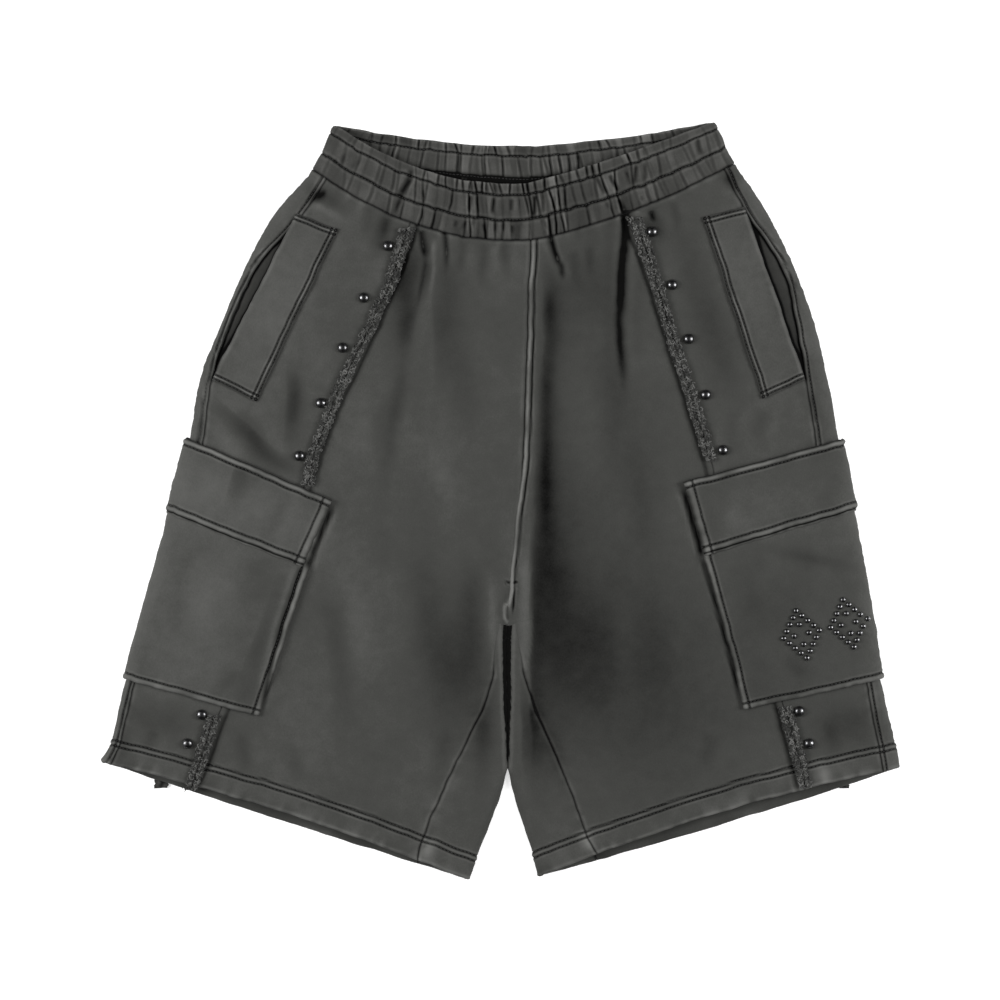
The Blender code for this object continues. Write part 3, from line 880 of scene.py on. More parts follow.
@dataclass(frozen=True)
class PaperFinish:
    """The plain white floor, lit a little from behind as on a light table."""

    name: str
    colour: tuple[float, float, float]
    glow: float

    def material(self) -> Material:
        """Builds the finish."""
        tree = ShaderTree(self.name)
        tree.fill(tree.shader, {"Base Color": (*self.colour, 1.0), "Roughness": 0.95, "Specular IOR Level": 0.1,
                                "Emission Color": (1.0, 1.0, 1.0, 1.0), "Emission Strength": self.glow})
        return tree.material


FLEECE = ClothFinish("washed_fleece", (0.002, 0.002, 0.0018), (0.053, 0.0535, 0.05), (0.156, 0.156, 0.149))
BAND = ClothFinish("gathered_band_cloth", (0.002, 0.002, 0.0018), (0.0495, 0.0495, 0.0465), (0.156, 0.155, 0.148))
INSIDE = ClothFinish("pocket_bag_cloth", (0.002, 0.002, 0.002), (0.048, 0.048, 0.045), (0.123, 0.122, 0.117))
FRAY = ClothFinish("frayed_edge", (0.006, 0.006, 0.0055), (0.043, 0.0435, 0.0405), (0.165, 0.165, 0.158),
                   mottle=0.14, grain=0.42, nap=0.18, pile=0.22, sheen=0.15)
THREAD = ThreadFinish("dark_thread", (0.006, 0.006, 0.0055), (0.017, 0.017, 0.016))
GUNMETAL = MetalFinish("gunmetal", (0.2, 0.2, 0.204), (0.15, 0.15, 0.154), 0.34)
FLOOR = PaperFinish("white_floor", (0.88, 0.88, 0.88), 0.45)


@dataclass
class Materials:
    """Every finish, made once."""

    fleece: Material = field(default_factory=FLEECE.material)
    band: Material = field(default_factory=BAND.material)
    inside: Material = field(default_factory=INSIDE.material)
    fray: Material = field(default_factory=FRAY.material)
    thread: Material = field(default_factory=THREAD.material)
    metal: Material = field(default_factory=GUNMETAL.material)


class Gathers:
    """The irregular folds across the elastic: narrow valleys with rounded cloth between them."""

    LEVELS = (0.0, STITCH_LEVELS[0], STITCH_LEVELS[1], 1.0)
    ZONES = (0.0, 0.25, 0.29, 0.64, 0.68, 1.0)

    def __init__(self, length: float, seed: int, strength: Sequence[tuple[float, float]]) -> None:
        """Draws the valleys.

        Args:
            length: of the gathered edge in mm.
            seed: of the draw.
            strength: places along the edge, each with how deep the gathers are there.
        """
        draw = np.random.default_rng(seed)
        places = [-6.0]
        while places[-1] < length + 8.0:
            places.append(places[-1] + draw.uniform(3.6, 10.0))
        count = len(places)
        slant = draw.normal(0.0, 2.2, count)
        self.places = np.array(places)
        self.shifts = np.outer(slant, np.array(self.LEVELS) - 0.5) + draw.normal(0.0, 1.0, (count, 4))
        self.depths = np.clip(draw.uniform(-0.25, 1.25, (count, 3)), 0.06, 1.0)
        self.widths = draw.uniform(0.6, 1.7, count)
        # Each fold's facets are painted a little lighter or darker: painted light and shade.
        self.facets = draw.normal(0.0, 0.38, (count, 3))
        self.reaches = draw.uniform(5.0, 24.0, count) * (0.5 + draw.random(count) ** 3)
        self.strength = strength

    def strong(self, place: Array) -> Array:
        """How deep the gathers are at places along the edge."""
        at, value = zip(*self.strength)
        return np.interp(place, at, value)

    def valleys(self, place: Array, level: float) -> tuple[Array, Array, Array]:
        """How deep in a valley each place lies, from 0 to 1, how far up a fold, and its painted light: each fold's
        facet painted lighter or darker, and a painted highlight on the crest beside each valley.
        """
        at = self.places + np.array([np.interp(level, self.LEVELS, shift) for shift in self.shifts])
        at = np.maximum.accumulate(at + np.arange(len(at)) * 1e-6)
        depth, facet_light = (np.array([np.interp(level, self.ZONES, np.repeat(zones, 2)) for zones in table])
                        for table in (self.depths, self.facets))
        low = np.clip(np.searchsorted(at, place) - 1, 0, len(at) - 2)
        gap = np.maximum(at[low + 1] - at[low], 0.5)
        share = np.clip((place - at[low]) / gap, 0.0, 1.0)
        round_up = 4 * share * (1 - share)
        valley, crest_light = np.zeros_like(gap), facet_light[low] * np.sqrt(round_up)
        # A painted highlight on the crest just beside each valley.
        for near, away in ((low, share * gap), (low + 1, (1 - share) * gap)):
            valley = valley + depth[near] * hump(away, self.widths[near])
            crest_light = crest_light + depth[near] * hump(away - 2.0, 0.9)
        return valley, np.power(round_up, 0.38) * np.minimum(gap / 7.0, 1.0), crest_light

    def below(self, place: Array, drop: Array) -> Array:
        """How deep the valleys run on into the cloth under the waist seam."""
        low = np.clip(np.searchsorted(self.places, place) - 1, 0, len(self.places) - 2)
        total = np.zeros_like(place)
        for number in (low, low + 1):
            away = np.abs(place - self.places[number])
            spread = self.widths[number] * (1.6 + drop / 9.0)
            fade = 1 - smoothstep(0.0, 1.0, drop / self.reaches[number])
            total = total + self.depths[number, 2] * hump(away, spread) * fade
        return total * self.strong(place)


@dataclass
class Lie:
    """How one leg's cloth lies on its plan: puffed up, creased and gathered under the band."""

    plan: LegPlan
    front: CreaseMap
    back: CreaseMap
    gathers: dict[bool, Gathers]
    puff: float = 3.0
    puff_reach: float = 24.0
    gather_depth: float = 1.1
    sway: float = 0.55
    drift: Unevenness = field(default_factory=lambda: Unevenness(77))

    JOINED = (6.2, 7.4)      # the rows over which the inner edges come free of each other
    PARTED = (8.85, 9.0)     # and over which the black gap between them ends
    FREE_DEPTH = 0.7         # how deep a crease sinks freely

    def warp(self, points: Array, up: Array) -> Array:
        """Sways the cloth a little sideways, so that no edge runs dead straight."""
        x, y = points[..., 0] + 900.0 * (1 - up), points[..., 1]
        moved = points.copy()
        for axis, shift in ((0, 0), (1, 300)):
            moved[..., axis] += self.sway * (self.drift.at(x, y + shift, 15.0)
                                             + 0.5 * self.drift.at(x + 300, y + shift, 6.0))
        return moved

    def relief(self, points: Array, row: Array, reach: Array, up: Array) -> tuple[Array, Array]:
        """The height off the plain form, along the normals, and the tone.

        Args:
            points: the plain form.
            row: its row numbers.
            reach: its distances from the side fold.
            up: 1 where it faces up and 0 where it faces down.

        Returns:
            The heights in mm, and the tones.
        """
        inner = self.plan.length(row) - np.abs(reach)
        joined = smoothstep(*self.JOINED, row)
        puff = self.puff * (1 - np.exp(-np.abs(reach) / self.puff_reach))
        puff = puff * (1 - joined * np.exp(-np.maximum(inner, 0.0) / 16.0))
        drop = np.maximum(self.plan.drop(row), 0.0)
        faces = []
        for back, face, share in ((False, self.front, up), (True, self.back, 1 - up)):
            place = np.abs(reach) / self.plan.length(row, back) * self.plan.length(float(WAIST), back)
            sunk = share * self.gathers[back].below(place, drop) * (row >= WAIST)
            height, tone = face.lay(points[..., 0], points[..., 1])
            # The gathers' valleys run on below the seam, with painted shade in them.
            faces.append((height - sunk * self.gather_depth, tone - 0.07 * sunk))
        (front_height, front_tone), (back_height, back_tone) = faces
        height = self.settle(up * (front_height + puff) + (1 - up) * np.minimum(back_height - 0.5, 0.0))
        tone = up * front_tone + (1 - up) * back_tone
        # A painted highlight along the rounded side fold.
        tone = tone + 0.13 * np.exp(-np.square(reach / 6.5)) * smoothstep(0.3, 0.8, up)
        between = (row >= CROTCH) * (1 - smoothstep(*self.PARTED, row))
        near = between * np.exp(-np.square(np.maximum(inner, 0.0) / 2.5))
        height = height * (1 - near) + 0.6 * near
        # The black gap between the legs is painted shade: the cloth just inside the parting is painted nearly black,
        # and the rolled edge past it gets a painted highlight.
        past = inner - self.plan.parting(row)
        gap_shade = between * (1 - smoothstep(-0.7, 0.7, past))
        rolled = between * hump(past - 2.6, 1.7)
        return height - 0.3 * gap_shade + 0.4 * rolled, tone - 2.2 * gap_shade + 0.12 * rolled

    @classmethod
    def settle(cls, height: Array) -> Array:
        """Keeps the deepest creases off the cloth below."""
        past = np.minimum(height + cls.FREE_DEPTH, 0.0)
        return np.maximum(height, -cls.FREE_DEPTH) - (1 - np.exp(past))


@dataclass(frozen=True)
class Edging:
    """How cloth looks beside one edge of a piece.

    roll is the height of the soft ridge beside the seam, ridge_at its distance from the edge, stitches
    the distances of the stitch rows, pucker the height of the small puckers, wear how much paler the
    ridge is, dark how much painted shadow darkens the edge itself, and welt the height of a turned,
    doubled edge that ends at welt_at. layer is how far a second layer shows past the first, with a
    painted shadow line where it comes out from under it.
    """

    roll: float = 0.30
    ridge_at: float = 2.2
    stitches: tuple[float, ...] = ()
    pucker: float = 0.22
    wear: float = 0.07
    welt: float = 0.0
    welt_at: float = 0.0
    dark: float = 0.16
    layer: float = 0.0

    def lay(self, distance: Array, along: Array, noise: Unevenness) -> tuple[Array, Array]:
        """The height and the tone beside the edge.

        Args:
            distance: from the edge.
            along: the distance along the edge.
            noise: what makes the puckers uneven.

        Returns:
            The heights in mm, and the tones.
        """
        ridge = hump(distance - self.ridge_at, 1.3)
        uneven = 0.75 + 0.5 * noise.at(along, distance * 0 + 3.0, 16.0)
        height = self.roll * ridge
        # The ridge is paler with wear, and painted shadow darkens the edge itself.
        tone = 1.6 * self.wear * ridge * uneven - 1.8 * self.dark * hump(distance, 0.9)
        if self.welt:
            step = 1 - smoothstep(self.welt_at - 0.6, self.welt_at + 0.9, distance)
            height = height + self.welt * step
            tone = tone + 0.02 * step
        if self.layer:
            height = height - 1.1 * (1 - smoothstep(self.layer - 0.2, self.layer + 0.7, distance))
            # Painted shadow where the second layer comes out from under the first, and a painted highlight on the
            # first layer's rounded edge.
            tone = tone - 0.75 * hump(distance - self.layer, 0.75) + 0.10 * hump(distance - self.layer + 1.3, 0.7)
        for place in self.stitches:
            off = distance - place
            beside = hump(off - 1.8, 0.8) + hump(off + 1.8, 0.8)
            height = height - 0.62 * hump(off, 0.70) + 0.22 * beside
            # Painted shade in the stitch groove, and painted highlights on the puffed ridges beside it.
            tone = tone - 0.62 * hump(off, 0.85) + 0.12 * beside * uneven
        wave = noise.at(along, distance, 4.6, 17.0) + 0.5 * noise.at(along + 50, distance, 9.5, 25.0)
        near = np.exp(-distance / 6.5)
        # The puckers are painted paler where they rise and darker where they sink: painted light and shade.
        return height + self.pucker * wave * near, tone + 0.24 * self.pucker * wave * near


RAW = Edging(roll=0.1, wear=0.0, pucker=0.1, dark=0.05)
INSEAM = Edging(roll=0.25, pucker=0.3, wear=0.07, dark=0.2)
UNDER_BAND = Edging(roll=0.3, pucker=0.35, dark=0.14)
HEMMED = Edging(roll=0.35, ridge_at=1.6, stitches=(HEM_HEIGHT, HEM_HEIGHT - 4.6), pucker=0.60, wear=0.12,
                welt=0.75, welt_at=HEM_HEIGHT, dark=0.0)
CENTRE_SEAMS = {Side.LEFT: Edging(roll=1.05, ridge_at=1.9, pucker=0.10, wear=0.30, dark=0.10, stitches=(5.2,)),
                Side.RIGHT: Edging(roll=0.30, ridge_at=3.2, pucker=0.10, wear=0.05, dark=0.30)}
INSEAM_STARTS = (30.0, 46.0)     # it fades in over these distances below the crotch


class ClothPiece:
    """One piece of the shorts' cloth, on a grid of rows and reaches of its leg."""

    def __init__(self, name: str, lie: Lie, row: Array, reach: Array, lift: Array | float = 0.0,
                 wall: Array | float = CLOTH, seed: int = 1, formed: Optional[tuple[Array, Array]] = None) -> None:
        """Lays the piece on its leg's plan.

        Args:
            name: the piece's name.
            lie: how the leg's cloth lies.
            row: the grid's row numbers, rows by columns.
            reach: its distances from the side fold.
            lift: its height over the panels' outer face.
            wall: its thickness.
            seed: for what is uneven in it alone.
            formed: its plain form, as points and how far each faces up, where that isn't the leg's skin.
        """
        self.name, self.wall, self.turned = name, wall, lie.plan.turned
        self.noise = Unevenness(seed + 100 * self.turned)
        plain, self.up = formed or lie.plan.skin(row, reach, lift)
        self.base = lie.warp(plain, self.up)
        self.base_normals = grid_normals(self.base, self.turned)
        self.height, self.tone = lie.relief(plain, row, reach, self.up)
        self.from_top, self.from_start = (
            running(np.linalg.norm(np.diff(self.base, axis=axis), axis=-1), axis) for axis in (0, 1))
        self.from_end = self.from_start[:, -1:] - self.from_start
        self.from_foot = self.from_top[-1:] - self.from_top
        self.measures = {"start": (self.from_start, self.from_top), "end": (self.from_end, self.from_top),
                         "top": (self.from_top, self.from_start), "foot": (self.from_foot, self.from_start)}
        self.rows: list[tuple[str, float]] = []
        self.ease = 1.0      # cloth cut for each millimetre of width, where it is rolled or gathered

    def edges(self, **edgings: Edging) -> None:
        """Lays the rolls, puckers and stitch rows of the start, end, top and foot edges that are named."""
        for name, edging in edgings.items():
            self.add(*edging.lay(*self.measures[name], self.noise))
            self.rows += [(name, place) for place in edging.stitches]

    def add(self, height: Array | float, tone: Array | float = 0.0, where: Array | float = 1.0) -> None:
        """Adds to the height and the tone, all over or where a mask isn't 0."""
        self.height, self.tone = self.height + height * where, self.tone + tone * where

    def shape(self) -> tuple[Array, Array]:
        """The outer face with all its relief, kept off the floor, and its normals."""
        points = off_floor(self.base + self.base_normals * self.height[..., None])
        return points, grid_normals(points, self.turned)

    def make(self, materials: Materials, node: str, *rests_on: str, finish: Optional[Material] = None,
             slot: Slot = Slot.FLEECE, coarse: int = 4) -> bpy.types.Object:
        """Builds the piece and the stitches that show on it, and declares both.

        Args:
            materials: the finishes.
            node: the CAD node that the piece stands for.
            rests_on: what it lies on; not used.
            finish: the cloth's material, where it isn't the fleece.
            slot: the record's slot.
            coarse: how much coarser its hidden inner face is.

        Returns:
            The piece.
        """
        points, normals = self.shape()
        edge = np.min([distance for distance, _ in self.measures.values()], axis=0)
        parts = MeshParts()
        shell = Shell(points, self.base_normals, self.wall, edge, self.turned, coarse=coarse)
        outer = shell.add_to(parts, self.tone)
        obj = parts.build(self.name, finish or materials.fleece)
        seams = self.sew(outer, normals, materials.thread)
        declare(obj, slot, node)
        return obj

    def sew(self, outer: Array, normals: Array, thread: Material) -> list[bpy.types.Object]:
        """Sews the piece's stitch rows, as one mesh."""
        parts = MeshParts()
        for name, place in self.rows:
            measure, _ = self.measures[name]
            axis = 1 if name in ("start", "end") else 0
            grows, value = (measure, place) if name in ("start", "top") else (-measure, -place)
            line, aside = (trace(grid, grows, value, axis) for grid in (outer, normals))
            Stitching().sew(parts, line, aside)
        if not parts.count:
            return []
        obj = parts.build(f"{self.name}_stitches", thread)
        declare(obj, Slot.FLEECE)
        return [obj]


def declare(obj: bpy.types.Object, slot: Slot, *nodes: str) -> None:
    """Puts a piece on the shorts' body and hides the CAD nodes that it stands for."""
    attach(obj, BODY)
    if nodes:
        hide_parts(*nodes)


def triangles(obj: bpy.types.Object) -> int:
    """How many triangles the object's faces make."""
    return sum(len(face.vertices) - 2 for face in obj.data.polygons)


@dataclass
class Waistband:
    """The elasticated band: one flattened ring, gathered and stitched twice round."""

    lies: dict[Side, Lie]
    materials: Materials
    deep: float = 46.0
    fold_depth: float = 2.5
    valley_depth: float = 1.9
    rise: float = 1.8
    column_step: float = 1.2
    front_step: float = 0.85
    gather_share: float = 1.30     # cloth cut for each length of relaxed elastic
    seed: int = 61

    def half(self, side: Side, shares: Array, levels: Array) -> tuple[Array, ...]:
        """One side's half of the ring, from the centre back to the centre front.

        Args:
            side: the side.
            shares: of the row's length, below 0 on the back.
            levels: the row numbers.

        Returns:
            The plain form's points, the heights over it, the tones, the wall and the painted shadow added to the
            inside face's tones.
        """
        lie = self.lies[side]
        share, level = np.meshgrid(shares, levels)
        reach = share * np.where(share < 0, lie.plan.length(level, True), lie.plan.length(level))
        plain, up = lie.plan.skin(np.minimum(level, 0.999999), reach)
        base = lie.warp(plain, up)
        base[..., 1] -= 2.2 * np.exp(-np.abs(reach) / 4.0) * (1 - smoothstep(0.0, 0.2, level))
        height, tone = np.zeros_like(reach), np.zeros_like(reach)
        for number, row in enumerate(levels):
            pinch = self.pinch(row)
            for back in (False, True):
                gathers = lie.gathers[back]
                place = np.abs(share[number]) * lie.plan.length(float(WAIST), back)
                valley, fold, crest_light = gathers.valleys(place, row)
                strong = gathers.strong(place)
                side_of = (share[number] < 0) == back
                rise = self.fold_depth * 0.62 * fold * pinch * strong
                sunk = self.valley_depth * valley * (0.35 + 0.65 * pinch) * strong
                height[number] += side_of * (rise - sunk)
                # Painted shade in the valleys, and painted highlights on the folds and on the crests beside the
                # valleys.
                shade = 0.10 * (fold - 0.5) * pinch + 0.24 * crest_light * pinch - 0.62 * valley * (0.5 + 0.5 * pinch)
                tone[number] += side_of * shade * strong
        (front_height, front_tone), (back_height, back_tone) = (face.lay(plain[..., 0], plain[..., 1])
                                                                for face in (lie.front, lie.back))
        swell = self.rise * (1 - np.exp(-np.abs(reach) / 30.0))
        wall = np.clip(BAND_WALL + 1.3 * (height - 0.5), 1.2, 4.0)
        # Painted shadow on the band's inside face: deep under the front's top edge and towards the opening's ends.
        inside_shadow = -0.75 * smoothstep(0.56, 0.70, level) - 0.32 * np.exp(-np.abs(reach) / 34.0) * (level > 0.1)
        under = np.minimum(height + 0.4 * back_height - 0.8, 0.0)
        height = Lie.settle(up * (height + front_height + swell) + (1 - up) * under)
        return base, height, tone + up * front_tone + (1 - up) * back_tone, wall, inside_shadow

    @staticmethod
    def pinch(level: float) -> float:
        """How free the cloth is to bulge between the stitch rows, from 0 to 1."""
        marks = (-0.12, *STITCH_LEVELS, 1.06)
        for low, high in zip(marks[:-1], marks[1:]):
            if low <= level <= high:
                return 0.22 + 0.78 * math.sin(math.pi * (level - low) / (high - low)) ** 0.6
        return 0.3

    def build(self) -> None:
        """Builds the band and its stitches."""
        deep = self.deep
        stitched = [level * deep for level in STITCH_LEVELS]
        levels = graded(deep, (0.0, *stitched, deep), 0.62, 1.5, 5.0) / deep
        rings = []
        for side in (Side.RIGHT, Side.LEFT):
            length = float(self.lies[side].plan.length(0.5))
            half = graded(length, (0.0,), 0.8, self.column_step, 14.0) / length
            fine = graded(length, (0.0,), 0.7, self.front_step, 14.0) / length
            shares = np.concatenate([-half[::-1], fine[1:]])
            made = self.half(side, shares, levels)
            rings.append([grid[:, ::-1] for grid in made] if side is Side.LEFT else list(made))
        right, left = rings
        base, height, tone, wall, inside_shadow = (np.concatenate([a, b[:, 1:-1]], axis=1) for a, b in zip(right, left))
        steps = np.linalg.norm(np.diff(base[len(levels) // 2], axis=0), axis=-1)
        place = running(steps)[None] + 0 * levels[:, None]
        drop = levels[:, None] * deep + 0 * place
        noise = Unevenness(self.seed)
        wander = 0.4 * noise.at(place, place * 0, 13.0) + 0.5 * noise.at(place, place * 0, 5.0)
        for at in stitched:
            off = drop - at + wander
            height = height - 0.95 * hump(off, 0.85)
            wall = wall - 1.5 * hump(off, 0.9)
            # Painted shade in the stitch grooves, and painted highlights on the ridges beside them.
            tone = tone - 0.55 * hump(off, 0.95) + 0.10 * (hump(off - 2.2, 1.1) + hump(off + 2.2, 1.1))
        foot = deep - drop
        height = height + 0.25 * hump(foot - 2.0, 1.5) + 0.22 * noise.at(place, drop, 5.0, 12.0)
        # Painted shade along the band's foot, and paler just under its top edge.
        tone = tone - 0.40 * hump(foot, 1.1) + 0.12 * hump(drop - 1.5, 1.8) + 0.06 * noise.at(place, drop, 7.0, 15.0)
        outward = grid_normals(base, False, ring=True)
        points = off_floor(base + outward * height[..., None])
        normals = grid_normals(points, False, ring=True)
        wall = np.maximum(wall, 0.9)
        parts = MeshParts()
        shell = Shell(points, outward, wall, np.minimum(drop, foot), False, ring=True, lining_tone=inside_shadow)
        outer = shell.add_to(parts, tone)
        obj = parts.build("elastic_waistband", self.materials.band)
        threads = MeshParts()
        for at in stitched:
            line, up, out, thick = (trace(grid, drop, at, 0) for grid in (outer, normals, outward, wall[..., None]))
            for row, aside in ((line, up), (line - out * thick, -out)):
                Stitching(pitch=3.0, length=2.3).sew(threads, row, aside)
        seam = threads.build("elastic_waistband_stitches", self.materials.thread)
        declare(obj, Slot.WAISTBAND, "waistband")
        declare(seam, Slot.WAISTBAND)


@dataclass
class LegPanels:
    """The panels of one leg: side front, centre front, back, inner-leg gusset and pocket facing."""

    lie: Lie
    materials: Materials
    step: float = 1.75
    fine: float = 0.7

    def __post_init__(self) -> None:
        """Works out the rows' places down the leg."""
        plan = self.lie.plan
        self.side = plan.side.value
        self.low = float(plan.drop(float(HEM)))
        self.hem = self.low - HEM_HEIGHT
        self.crotch = float(plan.drop(float(CROTCH)))

    def rows(self, start: float, step: float) -> tuple[Array, Array]:
        """The rows of a panel's grid, close at the seam and the hem: distances down the leg, and numbers."""
        focus = [0.0, self.hem - start, self.hem + 4.5 - start, self.low - start]
        places = graded(self.low - start, [place for place in focus if place >= 0], self.fine, step, 7.0)
        return start + places, self.lie.plan.rows_at(start + places)

    def shares(self, width: float) -> Array:
        """The columns of a front panel, as shares of its width, close at both of its edges."""
        return graded(width, (0.0, width), self.fine, self.step, 9.0) / width

    def wall(self, piece_drop: Array) -> Array:
        """The cloth's thickness, doubled in the hem."""
        return CLOTH + 1.5 * smoothstep(self.hem - 0.5, self.hem + 1.0, piece_drop)

    def panel(self, name: str, drops: Array, starts: Array, ends: Array, shares: Array, seed: int,
              cut_in: Array | float = 0.0) -> ClothPiece:
        """A panel between two reaches on every row.

        Args:
            name: the piece's name.
            drops: its rows, as distances down the leg.
            starts: the reach where each row starts.
            ends: where it ends.
            shares: its columns, as shares of the way between them.
            seed: for what is uneven in it.
            cut_in: how much farther in its end is cut, over the last columns only.

        Returns:
            The piece, with its hem's extra thickness.
        """
        row = self.lie.plan.rows_at(drops)[:, None] + 0 * shares[None]
        reach = starts[:, None] + (ends - starts)[:, None] * shares[None]
        reach = reach - (cut_in + 0 * drops)[:, None] * smoothstep(0.84, 1.0, shares)[None]
        return ClothPiece(name, self.lie, row, reach, 0.0, self.wall(drops[:, None] + 0 * reach), seed)

    def side_front(self) -> None:
        """Builds the panel from the side seam to the raw-edged seam."""
        plan = self.lie.plan
        drops, rows = self.rows(0.0, self.step)
        starts = np.maximum(plan.value("back_edge", rows), plan.value("front_edge", rows)) + SEAM_GAP / 2
        ends = plan.value("raw", rows) - SEAM_GAP / 2
        piece = self.panel(f"front_side_{self.side}", drops, starts, ends, self.shares(90.0), 11)
        piece.edges(start=Edging(roll=0.25, pucker=0.3, wear=0.06, dark=0.2), end=RAW, top=UNDER_BAND, foot=HEMMED)
        piece.make(self.materials, f"side_front_{self.side}", f"back_{self.side}", coarse=5)

    def centre_front(self) -> None:
        """Builds the panel from the raw-edged seam to the centre seam and the gusset."""
        plan = self.lie.plan
        drops, rows = self.rows(0.0, self.step)
        gusset, notch, meets = self.inner_cut(rows)
        starts = plan.value("raw", rows) + SEAM_GAP / 2
        ends = plan.length(rows) + meets - gusset - SEAM_GAP / 2
        piece = self.panel(f"front_centre_{self.side}", drops, starts, ends, self.shares(130.0), 12, notch)
        # Painted shadow, with a shallow dip, on the panel beside the raw-edged strip.
        beside = hump(piece.from_start - 6.4, 1.8)
        piece.add(-0.4 * beside, -0.36 * beside)
        across, down = piece.measures["end"]
        piece.add(*CENTRE_SEAMS[plan.side].lay(across, down, piece.noise),
                  1 - smoothstep(self.crotch - 8, self.crotch + 4, down))
        piece.add(*INSEAM.lay(across, down, piece.noise), smoothstep(*INSEAM_STARTS, down - self.crotch))
        piece.edges(start=RAW, top=UNDER_BAND, foot=HEMMED)
        piece.make(self.materials, f"centre_front_{self.side}", f"back_{self.side}", coarse=5)

    def inner_cut(self, rows: Array) -> tuple[Array, Array, Array]:
        """The gusset's width, the notch where it starts and how far the seat's edge bulges, on each row."""
        plan = self.lie.plan
        below = rows >= CROTCH
        fades = below * (1 - smoothstep(CROTCH, CROTCH + 1.0, rows))
        notch = 5.0 * fades
        bulge = np.where(below, 2.3 * fades, plan.meet(rows))
        return below * plan.value("gusset", rows) - notch, notch + below * bulge, bulge

    def back(self) -> None:
        """Builds the panel from the centre-back seam round the side fold to the side seam."""
        plan = self.lie.plan
        drops, rows = self.rows(0.0, 2.6)
        gusset, notch, meets = self.inner_cut(rows)
        starts = -(plan.length(rows, True) + meets - gusset - notch - SEAM_GAP / 2)
        ends = plan.value("back_edge", rows) - SEAM_GAP / 2
        long, near = 200.0, 16.0
        shares = graded(long, (0.0, long - near, long), 0.8, 2.6, 14.0) / long
        piece = self.panel(f"back_{self.side}", drops, starts, ends, shares, 13)
        piece.edges(start=Edging(roll=0.0, stitches=(5.0,), pucker=0.15, wear=0.12, dark=0.25),
                    end=Edging(roll=0.35, ridge_at=1.9, stitches=(3.5,), pucker=0.35, wear=0.05, dark=0.15),
                    top=Edging(roll=0.1, pucker=0.3, dark=0.14), foot=HEMMED)
        piece.make(self.materials, f"back_panel_{self.side}", coarse=5)

    def gusset(self) -> None:
        """Builds the wedge from the crotch to the hem, folded round the inner leg."""
        plan = self.lie.plan
        drops, rows = self.rows(self.crotch, self.step)
        width = np.maximum(plan.value("gusset", rows) - SEAM_GAP / 2, LEG_FOLD + 0.4)
        width = width + 1.1 * (1 - smoothstep(32.0, 46.0, drops - drops[0]))
        sides = graded(2.0, (0.0, 1.0, 2.0), 0.014, 0.036, 0.25) - 1.0     # -1 on the front to 1 on the back
        row = rows[:, None] + 0 * sides[None]
        inward = -sides[None] * width[:, None]
        turn = np.clip(inward / LEG_FOLD, -1.0, 1.0) * math.pi / 2
        near = np.abs(inward) < LEG_FOLD
        meets = plan.meet(row) * smoothstep(-0.2, 1.0, np.cos(turn))
        along = plan.length(row) - np.where(near, LEG_FOLD - LEG_FOLD * np.cos(turn), np.abs(inward)) + meets
        half = stack(row) / 2
        up = smoothstep(-1.0, 1.0, inward / LEG_FOLD)
        form = plan.between(row, along, up, half + half * np.sin(turn))
        piece = ClothPiece(f"inner_gusset_{self.side}", self.lie, row, along, 0.0,
                           self.wall(drops[:, None] + 0 * row), 14, (form, up))
        piece.add(*INSEAM.lay(*piece.measures["start"], piece.noise), smoothstep(*INSEAM_STARTS, piece.from_top))
        piece.edges(end=Edging(roll=0.1, pucker=0.2, wear=0.07, dark=0.2), foot=HEMMED)
        piece.make(self.materials, f"inner_leg_{self.side}", f"back_{self.side}", coarse=3)

    def facing(self) -> None:
        """Builds what shows in the open pocket mouth: the facing, sloping down under the side front."""
        plan = self.lie.plan
        rows = np.linspace(2.15, 4.9, 90)
        edge = plan.value("back_edge", rows)
        mouth = np.maximum(edge, plan.value("front_edge", rows))
        starts = np.maximum(edge - 3.0, SIDE_FOLD + 0.2)
        shares = np.linspace(0.0, 1.0, 22)
        row = rows[:, None] + 0 * shares[None]
        reach = starts[:, None] + (mouth + 8.5 - starts)[:, None] * shares[None]
        piece = ClothPiece(f"mouth_facing_{self.side}", self.lie, row, reach, -PATCH_LIFT, 1.0, 15)
        # Painted shadow in the pocket mouth: darkest under the side front's edge, a dark line along the back panel's
        # edge, and a little painted shade all over.
        under = hump(mouth[:, None] - reach - 0.4, 2.0)
        piece.add(0.15 * piece.noise.at(piece.from_start, piece.from_top, 7.0, 19.0),
                  -1.2 * under - 0.7 * hump(reach - edge[:, None] - 0.6, 0.9) - 0.16)
        piece.make(self.materials, f"pocket_facing_{self.side}", f"back_{self.side}", finish=self.materials.inside,
                   slot=Slot.POCKET_INSIDE, coarse=2)

    def build(self) -> None:
        """Builds all five panels."""
        for make in (self.back, self.side_front, self.centre_front, self.gusset, self.facing):
            make()


@dataclass(frozen=True)
class PatchPlan:
    """A cargo pocket's body or flap: its heights at the side fold, then its two front corners."""

    fold_top: float
    fold_foot: float
    top_x: float
    top_y: float
    foot_x: float
    foot_y: float


POCKETS = {Side.RIGHT: PatchPlan(38, -153, -148.5, -13.5, -205.5, -184.5),
           Side.LEFT: PatchPlan(37, -153, 158.5, 1.5, 207, -178.5)}
FLAPS = {Side.RIGHT: PatchPlan(51, -13, -143, -1, -168, -58),
         Side.LEFT: PatchPlan(50, -11, 155, 14.5, 173, -48.5)}


